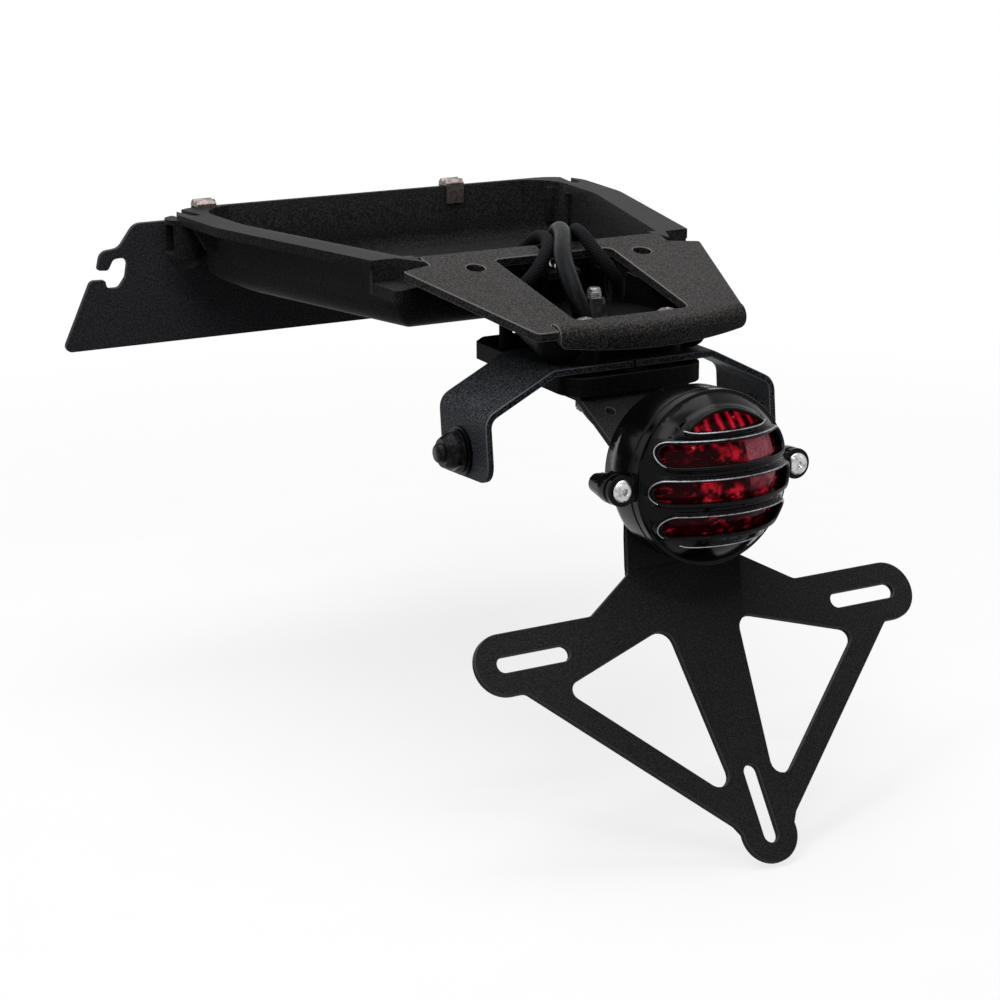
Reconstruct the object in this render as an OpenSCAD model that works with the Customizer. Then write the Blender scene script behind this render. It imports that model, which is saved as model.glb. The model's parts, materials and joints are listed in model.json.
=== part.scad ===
/* [Seat plate] */
// Pitch of the seat plate, rear end down, in degrees
seat_pitch = 11.6; // [8:0.2:14]
// Thickness of the seat plate and of its turned down lip
seat_t = 4; // [3:0.5:5]
// Distance between the two frame bolt holes
frame_bolt_gap = 84; // [80:1:90]
// Diameter of the frame bolt holes
frame_hole_d = 8.4; // [6.6:0.2:10.5]
// Width across the front ears
seat_ear_w = 150; // [146:1:156]
// Width of the strip ahead of the ears
seat_nose_w = 122; // [118:1:126]
// Width where the side edges reach the lip
seat_tail_w = 100; // [97:1:103]
// Distance from the frame bolts back to the middle of the lip
seat_reach = 77; // [76:1:80]
// Distance from the frame bolts forward to the front edge
seat_front = 18; // [17:0.5:20]
// Height of the lip at its middle
lip_h = 10.5; // [9:0.5:13]
// Width of the lip
lip_w = 91; // [86:1:92]
// Radius of the bow that the lip follows
lip_bow_r = 200; // [180:5:240]
// Middle of the bent lip to the right of the middle of the plate
lip_shift = 7; // [6:0.5:8]
// Width of the cable window at its front
window_w = 59; // [54:1:62]
// Gap between the two front fingers
finger_gap = 7; // [5:0.5:9]

/* [Tray] */
// Height of the tray rim above the frame bolts
rim_z = 2.8; // [2.4:0.1:3.2]
// Length of the tray from its rear edge to its front wall
tray_len = 171.5; // [165:0.5:180]
// Width of the tray across its front corners
tray_w = 230; // [226:1:236]
// Width of the tray at its rear corners
tray_rear_w = 161.6; // [158:0.2:166]
// Depth of the tray below its rim
tray_depth = 32.8; // [30:0.2:38]
// Wall of the tray
tray_wall = 3; // [2.4:0.2:4]
// Thickness of the side flanges
flange_t = 4.5; // [3.5:0.5:6]
// Width of the side flanges at the rear
flange_w = 16; // [14:0.5:18]
// Drop of the pocket floor at each rear corner
pocket_drop = 10; // [9:0.5:12]

/* [Guard] */
// Thickness of the splash guard sheet
guard_t = 3; // [2:0.5:4]
// Width of the guard along its bottom edge
guard_w = 337; // [330:1:344]
// Depth of the guard below the tray rim
guard_depth = 66.4; // [62:0.2:72]
// Width of the two rim clips
clip_w = 10; // [8:0.5:12]

/* [Rear housing] */
// Height of the arm roots below the frame bolts
arm_top_z = -32.5; // [-34:0.5:-32]
// Width of the housing at its rear
housing_w = 90; // [84:1:92]
// Width of the housing at its front
housing_front_w = 44; // [40:1:50]
// Wall of the housing
housing_wall = 2.5; // [2:0.25:3.5]
// Height of the housing floor below the frame bolts
housing_floor_z = -20.5; // [-21.5:0.5:-20]

/* [Indicator arms] */
// Thickness of the arm sheet
arm_t = 3; // [2.5:0.5:4]
// Width of the arms from front to rear
arm_w = 42.6; // [40:0.2:46]
// Distance across the outer faces of the two tabs
arm_span = 142.5; // [138:0.5:148]
// Half the distance between the two upper bends
arm_bend_x = 39; // [37:0.5:41]
// Slope of the arms between their bends, in degrees
arm_slope = 27; // [25:1:30]
// Length of the tabs down to their lowest edge
tab_h = 30; // [27:1:36]
// Gap where the two arms meet on the centre line
arm_gap = 1.2; // [0.6:0.2:2]
// Diameter of the indicator bolts
stalk_d = 8; // [6:1:10]

/* [Stack] */
// Distance between the two rear clamp bolts
clamp_gap = 40; // [38:1:42]
// Distance from the frame bolts back to the clamp bolts
clamp_back = 56.9; // [56:0.1:58]
// Diameter of the clamp bolts
clamp_d = 5; // [4:1:5]
// Diameter of the centre bolt
centre_d = 6; // [5:1:6]
// Distance from the frame bolts back to the centre bolt
centre_back = 29.6; // [28:0.2:32]
// Outer height of the cable cover
cover_h = 8; // [7.4:0.2:9]
// Width of the cable cover
cover_w = 68; // [64:1:70]
// Diameter of the cable holes through the stack
cable_hole_d = 9.6; // [9.2:0.2:10]

/* [Plate hanger] */
// Thickness of the hanger sheet
hanger_t = 3; // [2.5:0.5:4]
// Width of the neck behind the lamp
neck_w = 50; // [46:1:54]
// Slope of the shoulder behind the cable cover, in degrees
shoulder_slope = 30; // [26:1:34]
// Tilt of the neck, its foot to the rear, in degrees
neck_tilt = 4.4; // [3:0.2:6]
// Tilt of the number plate face from upright, in degrees
plate_tilt = 35.9; // [30:0.1:40]
// Length of the neck between its two bends
neck_len = 42.5; // [40:0.5:48]
// Distance between the inner ends of the two side slots
plate_hole_gap = 134; // [120:1:140]
// Length of each slot between its end centres
slot_len = 26; // [20:1:30]
// Width of the number plate slots
slot_w = 6.6; // [5.2:0.2:7]
// Distance from the lower bend down to the side slots
slot_drop = 28.9; // [27:0.1:32]
// Width of the bars round the slots
bar_w = 25.6; // [22:0.2:28]
// Distance from the side slots down to the end of the lowest slot
foot_drop = 89; // [85:1:95]

/* [Lamp] */
// Radius of the round lamp body
lamp_r = 36; // [34:0.5:38]
// Depth of the lamp body behind its ears
lamp_depth = 22.4; // [20:0.2:24]
// Distance between the two ear screws
ear_gap = 83; // [81:0.5:86]
// Radius of the ears
ear_r = 6.4; // [6:0.2:7]
// Height of the grille dome
dome_h = 22; // [18:1:26]
// Wall of the grille dome
dome_t = 2.6; // [2.2:0.2:3.2]
// Distance from one grille opening to the next
rib_pitch = 14.2; // [13.6:0.2:14.8]
// Height of each grille opening
opening_h = 8.6; // [7.6:0.2:9.6]
// Diameter of the ear screws
ear_screw_d = 5; // [4:1:5]

/* [Hidden] */

// Clearance between pieces that bolt together face to face
seat_gap = 0.1;
// Clearance round a bolt in its hole
bolt_gap = 0.5;
// Facets of the larger round features and of small fasteners
fn_big = 64;
fn_small = 32;

// Turns a plane point by an angle
function turned(p, a) = [p[0] * cos(a) - p[1] * sin(a), p[0] * sin(a) + p[1] * cos(a)];
// Vector of length one
function unit(v) = v / norm(v);
// Arc that replaces corner b between its neighbours a and c
function corner_arc(a, b, c, r, n) =
  let (u = unit(a - b), w = unit(c - b), half = acos(u * w) / 2,
    m = b + unit(u + w) * r / sin(half), s = b + u * r / tan(half) - m,
    q = b + w * r / tan(half) - m, way = cross(s, q) > 0 ? 1 : -1)
  [for (i = [0:n]) m + turned(s, way * (180 - 2 * half) * i / n)];
// Closed outline with each [x, y, r] corner rounded by its own radius
function rounded(pts, n = 6) =
  [for (i = [0:len(pts) - 1])
    let (k = len(pts), a = pts[(i + k - 1) % k], b = pts[i], c = pts[(i + 1) % k])
    each (b[2] > 0
      ? corner_arc([a[0], a[1]], [b[0], b[1]], [c[0], c[1]], b[2], n)
      : [[b[0], b[1]]])];
// Right half of an outline, followed by its mirror image
function mirrored(pts) =
  concat(pts, [for (i = [len(pts) - 1:-1:0]) [-pts[i][0], pts[i][1], pts[i][2]]]);
// Crossing of two lines, each through a point along a direction
function crossing(p, d, q, e) = p + d * cross(q - p, e) / cross(d, e);
// Closed counterclockwise outline moved inward by a distance, corners kept
function inset(pts, d) =
  [for (i = [0:len(pts) - 1])
    let (k = len(pts), a = pts[(i + k - 1) % k], b = pts[i], c = pts[(i + 1) % k],
      u = unit([b[0] - a[0], b[1] - a[1]]), w = unit([c[0] - b[0], c[1] - b[1]]),
      x = crossing([b[0], b[1]] + turned(u, 90) * d, u,
        [b[0], b[1]] + turned(w, 90) * d, w))
    [x[0], x[1], max(b[2] - d, 1)]];
// Open path moved sideways by a distance, bends kept sharp
function beside(path, d) =
  [for (i = [0:len(path) - 1])
    let (b = [path[i][0], path[i][1]],
      a = i > 0 ? [path[i - 1][0], path[i - 1][1]] : b,
      c = i < len(path) - 1 ? [path[i + 1][0], path[i + 1][1]] : b,
      u = i > 0 ? unit(b - a) : unit(c - b), w = i < len(path) - 1 ? unit(c - b) : u,
      su = b + turned(u, -90) * d, sw = b + turned(w, -90) * d)
    abs(cross(u, w)) < 0.001 ? su : crossing(su, u, sw, w)];
// Side view of a bent sheet, from the path of its upper face
// Each [x, y, r] of the path has the inner bend radius r, and bends that close
// towards the sheet's lower side are marked by a negative radius
function bent_sheet(path, t) =
  let (low = beside(path, t))
  rounded(concat(
    [for (p = path) [p[0], p[1], p[2] == 0 ? 0 : p[2] < 0 ? abs(t) - p[2] : p[2]]],
    [for (i = [len(path) - 1:-1:0]) let (r = path[i][2])
      [low[i][0], low[i][1], r == 0 ? 0 : r < 0 ? -r : r + abs(t)]]), 5);

// Faces of an end with n points: one polygon, or quads across a bent strip's two sides
function end_faces(n, strip) = strip
  ? [for (i = [0:n / 2 - 2]) [i, i + 1, n - 2 - i, n - 1 - i]]
  : [[for (i = [0:n - 1]) i]];
// Solid between outlines stacked from the lowest up, each with as many points
module loft(rings, heights, strip = false) {
  n = len(rings[0]);
  k = len(rings);
  polyhedron(
    [for (j = [0:k - 1]) for (p = rings[j]) [p[0], p[1], heights[j]]],
    concat(
      end_faces(n, strip),
      [for (j = [0:k - 2]) for (i = [0:n - 1])
        [j * n + i, (j + 1) * n + i, (j + 1) * n + (i + 1) % n, j * n + (i + 1) % n]],
      [for (f = end_faces(n, strip)) [for (i = [len(f) - 1:-1:0]) (k - 1) * n + f[i]]]));
}
// Slot with round ends, along X about the origin
module slot_2d(length, width) {
  square([length, width], center = true);
  for (s = [-1, 1])
    translate([s * length / 2, 0]) circle(d = width, $fn = fn_small);
}
// Button head screw with its head on the XY plane and its shank below
module button_screw(d, shank, socket = true) {
  head_r = d * 0.93;
  head_h = d * 0.55;
  difference() {
    union() {
      translate([0, 0, -shank]) cylinder(d = d, h = shank + 0.5, $fn = fn_small);
      rotate_extrude($fn = fn_small)
        polygon([[0, 0], [head_r, 0], [head_r, head_h * 0.3], [head_r * 0.86, head_h * 0.65],
          [head_r * 0.6, head_h * 0.92], [head_r * 0.4, head_h], [0, head_h]]);
    }
    if (socket)
      translate([0, 0, head_h * 0.4]) cylinder(d = d * 0.62, h = head_h, $fn = 6);
  }
}
// Nut with a locking collar, standing on the XY plane
module lock_nut(d, flats, h) {
  difference() {
    union() {
      cylinder(d = flats / cos(30), h = h * 0.72, $fn = 6);
      cylinder(d = flats * 0.92, h = h, $fn = fn_small);
    }
    translate([0, 0, -1]) cylinder(d = d + 0.2, h = h + 2, $fn = fn_small);
  }
}
// Swept tube of a cord through a list of points
function along(p, i) = unit(p[min(i + 1, len(p) - 1)] - p[max(i - 1, 0)]);
function side_of(t) = unit(cross(t, abs(t[0]) > 0.9 ? [0, 1, 0] : [1, 0, 0]));
module tube(pts, d, sides) {
  n = len(pts);
  polyhedron(
    [for (i = [0:n - 1])
      let (t = along(pts, i), u = side_of(t), w = cross(t, u))
      for (j = [0:sides - 1])
        let (a = 360 * j / sides) pts[i] + (u * cos(a) + w * sin(a)) * d / 2],
    concat(
      [[for (j = [0:sides - 1]) j]],
      [for (i = [0:n - 2]) for (j = [0:sides - 1])
        [i * sides + j, (i + 1) * sides + j,
          (i + 1) * sides + (j + 1) % sides, i * sides + (j + 1) % sides]],
      [[for (j = [sides - 1:-1:0]) (n - 1) * sides + j]]));
}

// Frame of the seat plate, whose top face is its XY plane
module seat_frame() rotate([seat_pitch, 0, 0]) children();
// Height of the seat plate's lower face over a point
function seat_under(y) = y * tan(seat_pitch) - seat_t / cos(seat_pitch);

window_front = 7;
window_back = seat_reach - 13.4;
ear_y = 4;
lip_cy = lip_bow_r - seat_reach;
lip_relief = 1.8;
lip_bend_r = 5.5;
tail_y = 4.4 - seat_reach;
// Height, along Y, of the lip's bow of radius r at x
function bow_y(r, x) = lip_cy - sqrt(r * r - pow(x - lip_shift, 2));
module seat_outline() {
  left = lip_shift - lip_w / 2;
  right = lip_shift + lip_w / 2;
  ears = [[seat_nose_w / 2, seat_front, 3], [seat_nose_w / 2 - 1, ear_y + 4, 1.5],
    [seat_ear_w / 2, ear_y, 1.5]];
  right_end = bow_y(lip_bow_r - lip_bend_r + 2, right);
  left_end = bow_y(lip_bow_r - lip_bend_r, left) + 1;
  polygon(rounded(concat(ears,
    [[seat_tail_w / 2 + 1.8, right_end, 1], [right - 2, right_end + 2.5, 0],
      [left + 2, left_end, 0], [left - lip_relief, left_end, 0.8],
      [left - lip_relief, tail_y, 1], [-seat_tail_w / 2, tail_y, 3]],
    [for (i = [2:-1:0]) [-ears[i][0], ears[i][1], ears[i][2]]]), 5));
}
// Depth of the lip at a distance d from its middle: arched, with rounded lower corners
lip_arch = 2;
lip_corner = 2.8;
function lip_depth(d) = let(e = lip_corner - (lip_w / 2 - abs(d)))
  lip_h - lip_arch * pow(2 * d / lip_w, 2)
  - (e > 0 ? lip_corner - sqrt(lip_corner * lip_corner - e * e) : 0);
// Section of the bent edge as [y, z], its outer face at y and its lower edge at -h
function lip_ring(y, h) = concat(
  [[y + 16, 0]],
  [for (a = [90:15:180]) [y + lip_bend_r + lip_bend_r * cos(a), -lip_bend_r + lip_bend_r * sin(a)]],
  [[y, -h], [y + seat_t, -h]],
  [for (a = [180:-15:90]) [y + lip_bend_r + (lip_bend_r - seat_t) * cos(a),
    -lip_bend_r + (lip_bend_r - seat_t) * sin(a)]],
  [[y + 16, -seat_t]]);
module seat_lip() {
  half = lip_w / 2;
  steps = concat([for (a = [0:15:75]) half - lip_corner * (1 - cos(a))],
    [half - lip_corner], [for (k = [7:-1:1]) (half - lip_corner) * k / 8]);
  places = concat([for (d = steps) -d], [0], [for (i = [len(steps) - 1:-1:0]) steps[i]]);
  rotate([90, 0, 90])
    loft([for (d = places) lip_ring(bow_y(lip_bow_r, d + lip_shift), lip_depth(d))],
      [for (d = places) d + lip_shift], strip = true);
}
module seat_plate() {
  color("#2c2b2b") seat_frame() difference() {
    union() {
      translate([0, 0, -seat_t]) linear_extrude(seat_t) seat_outline();
      seat_lip();
    }
    translate([0, 0, -seat_t - 1]) linear_extrude(seat_t + 2) {
      polygon(rounded(mirrored([
        [window_w / 2, window_front, 3], [window_w / 2 - 1.5, -window_back, 4]])));
      polygon(rounded([
        [-finger_gap / 2, seat_front + 1, 0], [finger_gap / 2, seat_front + 1, 0],
        [finger_gap / 2, window_front - 1, 0], [-finger_gap / 2, window_front - 1, 0]]));
      for (s = [-1, 1])
        translate([s * frame_bolt_gap / 2, 0]) circle(d = frame_hole_d, $fn = fn_small);
    }
  }
}

tray_rear = 23.5;
tray_front = tray_rear + tray_len;
shelf_t = 3.5;
// Outer edge of the tray rim, from the rear corner forward
function rim_pts() = mirrored([
  [tray_rear_w / 2, tray_rear, 0],
  [tray_w / 2 - 5, tray_rear + 110, 60],
  [tray_w / 2, tray_front, 20]]);
// Outline of the tub wall's outer face
function tub_pts() = mirrored([
  [tray_rear_w / 2 - flange_w + tray_wall - 1, tray_rear - 3, 8],
  [tray_w / 2 - 5 - flange_w + tray_wall + 1.5, tray_rear + 110, 60],
  [tray_w / 2 - 12, tray_front, 24]]);
tub_fillet = 9;
// Rings of a tub that narrows by a draft and turns into its floor by a fillet
function tub_insets(r) = concat([for (a = [90:-22.5:0]) 1 + r * (1 - cos(a))], [0]);
function tub_heights(top, bottom, r) =
  concat([for (a = [90:-22.5:0]) bottom + r * (1 - sin(a))], [top]);
module tub(offset_in, top, bottom, r) {
  loft([for (d = tub_insets(r)) rounded(inset(tub_pts(), offset_in + d), 5)],
    tub_heights(top, bottom, r));
}
module tray_rim() {
  translate([0, 0, rim_z - flange_t]) linear_extrude(flange_t) difference() {
    polygon(rounded(rim_pts()));
    polygon(rounded(inset(tub_pts(), tray_wall)));
    translate([0, tray_rear - 10]) square([tray_rear_w - 2 * flange_w + 1, 21], center = true);
  }
}
// Strip under the seat plate, with a lug round each frame bolt
module tray_shelf() {
  front = (tray_rear + tray_wall) / cos(seat_pitch);
  seat_frame() translate([0, 0, -seat_t - seat_gap - shelf_t]) linear_extrude(shelf_t)
    difference() {
      union() {
        translate([-seat_nose_w / 2, window_front + 2])
          square([seat_nose_w, front - window_front - 2]);
        for (s = [-1, 1]) {
          translate([s * frame_bolt_gap / 2, 0]) circle(r = 11, $fn = fn_small);
          translate([s * frame_bolt_gap / 2 - 11, 0]) square([22, window_front + 3]);
        }
        translate([-8, -5]) square([16, window_front + 8]);
      }
      for (s = [-1, 1])
        translate([s * frame_bolt_gap / 2, 0]) circle(d = frame_hole_d, $fn = fn_small);
      translate([0, tray_screw_y]) circle(d = clamp_d + bolt_gap, $fn = fn_small);
    }
}
tray_screw_y = 2;
pocket_t = 5.4;
// Step down at a rear corner, with a floor pad and two upright walls
module corner_pocket() {
  edge = tray_rear_w / 2;
  inner = edge - 20;
  floor_z = rim_z - pocket_drop;
  translate([0, 0, floor_z - pocket_t]) linear_extrude(pocket_t)
    polygon(rounded([[edge - 0.6, tray_rear + 3, 0], [edge - 1.6, 0.6, 3],
      [inner - 4, 10, 3], [inner - 4, tray_rear + 3, 0]]));
  translate([0, 0, floor_z - pocket_t]) linear_extrude(pocket_drop + pocket_t - flange_t + 0.5)
    translate([inner + 6, tray_rear]) square([edge - inner - 6.6, tray_wall]);
  translate([0, 0, floor_z - pocket_t]) linear_extrude(pocket_drop + pocket_t)
    polygon([[inner + 10, tray_rear + 2], [inner + 10, tray_rear], [inner + 8, tray_rear],
      [inner + 1.4, 9.5], [inner - 0.6, 9.5], [inner - 0.6, tray_rear + 2]]);
}
// Hollow round lug and stiffening rib under a front corner of the rim
module corner_lug() {
  x = tray_w / 2 - 6;
  y = tray_front - 14;
  difference() {
    union() {
      translate([x, y, rim_z - 19]) cylinder(r = 9, h = 16.5, $fn = fn_small);
      translate([x, y, rim_z - 19]) sphere(r = 9, $fn = fn_small);
      translate([x - 16, y - 4, rim_z - 21]) cube([16, 8, 18]);
    }
    translate([x + 3, y, rim_z - 19]) cylinder(r = 5.5, h = 14, $fn = fn_small);
    translate([x + 3, y - 5.5, rim_z - 19]) cube([10, 11, 14]);
  }
  translate([0, y - 17, rim_z - flange_t]) rotate([90, 0, 0]) linear_extrude(2.6)
    polygon([[x - 14, 0.5], [x + 2, 0.5], [x - 4, -11], [x - 14, -15]]);
}
module corner_slot() {
  translate([tray_w / 2 - 7.5, tray_front - 13, rim_z - flange_t - 1])
    rotate([0, 0, 80]) linear_extrude(flange_t + 2) slot_2d(20, 4.6);
}
module undertray() {
  color("#262626") difference() {
    union() {
      difference() {
        union() {
          tray_rim();
          tub(0, rim_z - 0.5, rim_z - tray_depth, tub_fillet);
        }
        tub(tray_wall, rim_z + 0.5, rim_z - tray_depth + tray_wall, tub_fillet - 2);
        seat_frame() translate([-seat_nose_w / 2 - 1, -20, -seat_t - seat_gap])
          cube([seat_nose_w + 2, 20 + seat_front + 1, 20]);
      }
      tray_shelf();
      for (s = [0, 1]) mirror([s, 0, 0]) {
        corner_pocket();
        corner_lug();
      }
    }
    for (s = [0, 1]) mirror([s, 0, 0]) corner_slot();
    for (x = clip_x) translate([x - clip_w / 2 - 0.5, clip_y - 1.3, rim_z - 10])
      cube([clip_w + 1, 1.5, 12]);
    seat_frame() translate([-seat_nose_w / 2 - 0.5, -20, -seat_t - seat_gap])
      cube([seat_nose_w + 1, 20 + seat_front + 0.5, 20]);
  }
}

guard_y = tray_front + 0.3;
guard_low = rim_z - guard_depth;
module front_guard() {
  tip = guard_w / 2;
  color("#26262a") translate([0, guard_y + guard_t, 0]) rotate([90, 0, 0])
    linear_extrude(guard_t) polygon(rounded(mirrored([
      [tray_w / 2 - 18, rim_z - 1.5, 2], [tray_w / 2 - 14, -3, 4],
      [129, -3, 7], [137.5, -14.5, 6], [147, -15.5, 5], [149, -24.5, 1.2],
      [143.4, -25, 2], [140.5, -19.6, 3], [133, -19.2, 3], [134.8, -29, 3],
      [138.5, -34, 3], [144.4, -33.8, 2], [145.2, -29.6, 1.5], [152.6, -29.3, 3],
      [tip, guard_low, 3]]), 5));
}
clip_x = [-93, 44];
clip_y = tray_front - tray_wall - 1.1;
module rim_clips() {
  wide = guard_t + tray_wall + 1.5;
  y0 = clip_y;
  color("#b9aca8") for (x = clip_x)
    translate([x - clip_w / 2, 0, 0]) rotate([90, 0, 90]) linear_extrude(clip_w)
      polygon([[y0 - 1, rim_z - 9], [y0 - 1, rim_z + 1.6], [y0 + 1.4, rim_z + 3.6],
        [y0 + wide / 2, rim_z + 1.8], [y0 + wide - 1.4, rim_z + 3.6],
        [y0 + wide + 1, rim_z + 1.6], [y0 + wide + 1, rim_z - 9],
        [y0 + wide, rim_z - 9], [y0 + wide, rim_z + seat_gap], [y0, rim_z + seat_gap],
        [y0, rim_z - 9]]);
}

housing_back = -clamp_back - 6.1;
housing_front = 16;
function housing_pts() = [
  [-housing_front_w / 2, housing_front, 4], [-housing_w / 2, housing_back, 9],
  [housing_w / 2, housing_back, 9], [housing_front_w / 2, housing_front, 4]];
ledge_z = seat_under(-clamp_back) - 0.6;
// Seats of the two clamp bolts and of the centre bolt
module at_clamps() for (s = [-1, 1]) translate([s * clamp_gap / 2, -clamp_back, 0]) children();
module at_centre() translate([0, -centre_back, 0]) children();
lead_x = 13;
lead_y = -43;
// Where the side leads pass up beside the housing
side_x = 28.4;
side_y = -2;
module at_leads() for (s = [-1, 1]) translate([s * lead_x, lead_y, 0]) children();
module rear_housing() {
  top = 4;
  r = 8;
  color("#242425") difference() {
    union() {
      difference() {
        loft([for (d = tub_insets(r)) rounded(inset(housing_pts(), d), 5)],
          tub_heights(top, arm_top_z, r));
        loft([for (d = [0, 0]) rounded(inset(housing_pts(), housing_wall + d), 5)],
          [housing_floor_z, top + 1]);
        translate([0, 0, arm_top_z - 1]) linear_extrude(housing_floor_z - housing_wall - arm_top_z + 1)
          polygon(rounded(inset(housing_pts(), housing_wall + r), 5));
      }
      at_clamps() translate([0, 0, arm_top_z]) cylinder(r = 6, h = ledge_z - arm_top_z, $fn = fn_small);
      at_centre() translate([0, 0, arm_top_z])
        cylinder(r = 7, h = housing_floor_z - arm_top_z, $fn = fn_small);
      at_leads() translate([0, 0, arm_top_z])
        cylinder(d = cable_hole_d + 4, h = housing_floor_z - arm_top_z, $fn = fn_small);
      seat_frame() translate([0, tray_screw_y, -22]) cylinder(r = 5.5, h = 22 - seat_t, $fn = fn_small);
    }
    seat_frame() translate([-60, -90, -seat_t - seat_gap]) cube([120, 120, 40]);
    seat_frame() translate([-60, -12, -seat_t - 2 * seat_gap - shelf_t]) cube([120, 40, 40]);
    at_clamps() translate([0, 0, -60]) cylinder(d = clamp_d + bolt_gap, h = 60, $fn = fn_small);
    at_centre() translate([0, 0, -60]) cylinder(d = centre_d + bolt_gap, h = 60, $fn = fn_small);
    at_leads() translate([0, 0, -60]) cylinder(d = cable_hole_d, h = 60, $fn = fn_small);
    seat_frame() translate([0, tray_screw_y, -20]) cylinder(d = clamp_d + bolt_gap, h = 40, $fn = fn_small);
    for (s = [-1, 1]) translate([s * side_x, side_y, -60])
      cylinder(d = loom_d + 1.2, h = 50, $fn = fn_small);
    for (s = [-1, 1]) translate([s * side_x, side_y - 2.5, housing_floor_z + 5]) rotate([0, 90, 0])
      linear_extrude(16, center = true) {
        circle(d = 11, $fn = fn_small);
        translate([-10, 0]) square([20, 11], center = true);
      }
  }
}
module tray_screw() {
  color("#c9c9c7") seat_frame() translate([0, tray_screw_y, -seat_t])
    button_screw(clamp_d, 12);
}

// One indicator arm: a root on the stack, a slope and a tab, all from one strip
arm_rear = -clamp_back - 7.4;
module indicator_arm() {
  out = arm_span / 2;
  drop = (out - arm_bend_x) * tan(arm_slope);
  low = arm_top_z - drop - tab_h - 4;
  difference() {
    intersection() {
      translate([0, arm_rear + arm_w, 0]) rotate([90, 0, 0]) linear_extrude(arm_w + 6)
        polygon(bent_sheet([[arm_gap / 2, arm_top_z, 0], [arm_bend_x, arm_top_z, -4],
          [out, arm_top_z - drop, -5], [out, low, 0]], arm_t));
      translate([-5, 0, 0]) rotate([90, 0, 90]) linear_extrude(out + 10)
        polygon(rounded([[arm_rear, arm_top_z + 5, 0], [arm_rear, arm_top_z - drop, 0],
          [arm_rear - 3.2, low + 6, 8], [arm_rear + arm_w - 3.2, low + 3, 8],
          [arm_rear + arm_w, arm_top_z - drop, 0], [arm_rear + arm_w, arm_top_z + 5, 0]]));
    }
    at_clamps() translate([0, 0, -60]) cylinder(d = clamp_d + bolt_gap, h = 60, $fn = fn_small);
    at_centre() translate([0, 0, -60]) cylinder(d = centre_d + bolt_gap, h = 60, $fn = fn_small);
    at_leads() translate([0, 0, -60]) cylinder(d = cable_hole_d, h = 60, $fn = fn_small);
    at_stalk() translate([0, 0, -10]) cylinder(d = stalk_d + bolt_gap, h = 20, $fn = fn_small);
  }
}
stalk_y = arm_rear + 21.5;
stalk_z = arm_top_z - (arm_span / 2 - arm_bend_x) * tan(arm_slope) - 18.5;
// Place of the indicator bolt on the right tab, its Z axis pointing outward
module at_stalk() translate([arm_span / 2, stalk_y, stalk_z]) rotate([0, 90, 0]) children();
module indicator_arm_left() color("#2b2b2c") mirror([1, 0, 0]) indicator_arm();
module indicator_arm_right() color("#2b2b2c") indicator_arm();
washer_t = 1.6;
nut_t = 8;
module indicator_washers() {
  color("#1e1e1f") for (s = [0, 1]) mirror([s, 0, 0]) at_stalk() difference() {
    cylinder(d = stalk_d * 2.6, h = washer_t, $fn = fn_big);
    translate([0, 0, -1]) cylinder(d = stalk_d + bolt_gap, h = washer_t + 2, $fn = fn_small);
  }
}
module indicator_nuts() {
  color("#1e1e1f") for (s = [0, 1]) mirror([s, 0, 0]) at_stalk()
    translate([0, 0, washer_t]) difference() {
      intersection() {
        union() {
          cylinder(d = stalk_d * 2.3, h = 1.4, $fn = fn_small);
          cylinder(d = stalk_d * 1.9 / cos(30), h = nut_t, $fn = 6);
        }
        rotate_extrude($fn = fn_small)
          polygon([[0, 0], [stalk_d * 1.2, 0], [stalk_d * 1.2, 1.6], [stalk_d * 0.76, nut_t], [0, nut_t]]);
      }
      translate([0, 0, -1]) cylinder(d = stalk_d + 0.2, h = nut_t + 2, $fn = fn_small);
    }
}
module indicator_bolts() {
  out = washer_t + nut_t + 2.4;
  color("#222223") for (s = [0, 1]) mirror([s, 0, 0]) at_stalk() {
    translate([0, 0, -arm_t - 3.5]) cylinder(d = stalk_d, h = arm_t + 3.5 + out - 0.6, $fn = fn_small);
    translate([0, 0, out - 0.6]) cylinder(d1 = stalk_d, d2 = stalk_d - 1.2, h = 0.6, $fn = fn_small);
    translate([0, 0, -arm_t - 4]) cylinder(d = stalk_d * 1.6, h = 4, $fn = fn_small);
  }
}

cover_top = arm_top_z - arm_t - 1;
cover_low = cover_top - cover_h;
cover_wall = 2.4;
cover_back = -clamp_back - 12.1;
cover_front = 23;
function cover_pts() = [
  [-cover_w / 2 + 7, cover_front, 3], [-cover_w / 2, cover_front - 7, 3],
  [-cover_w / 2, cover_back, 11], [cover_w / 2, cover_back, 11],
  [cover_w / 2, cover_front - 7, 3], [cover_w / 2 - 7, cover_front, 3]];
boss_top = arm_top_z - arm_t;
module cable_cover() {
  color("#2e2c2c") difference() {
    union() {
      translate([0, 0, cover_low]) linear_extrude(cover_h) polygon(rounded(cover_pts()));
      at_clamps() translate([0, 0, cover_low]) cylinder(r = 5.5, h = boss_top - cover_low, $fn = fn_small);
      at_centre() translate([0, 0, cover_low]) cylinder(r = 6, h = boss_top - cover_low, $fn = fn_small);
    }
    difference() {
      translate([0, 0, cover_low + cover_wall]) linear_extrude(cover_h)
        polygon(rounded(inset(cover_pts(), cover_wall)));
      at_clamps() translate([0, 0, cover_low]) cylinder(r = 5.5, h = 30, $fn = fn_small);
      at_centre() translate([0, 0, cover_low]) cylinder(r = 6, h = 30, $fn = fn_small);
    }
    at_clamps() translate([0, 0, -60]) cylinder(d = clamp_d + bolt_gap, h = 60, $fn = fn_small);
    at_centre() translate([0, 0, -60]) cylinder(d = centre_d + bolt_gap, h = 60, $fn = fn_small);
    translate([-lead_x, lead_y, -60]) cylinder(d = cable_hole_d, h = 60, $fn = fn_small);
  }
}

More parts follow.
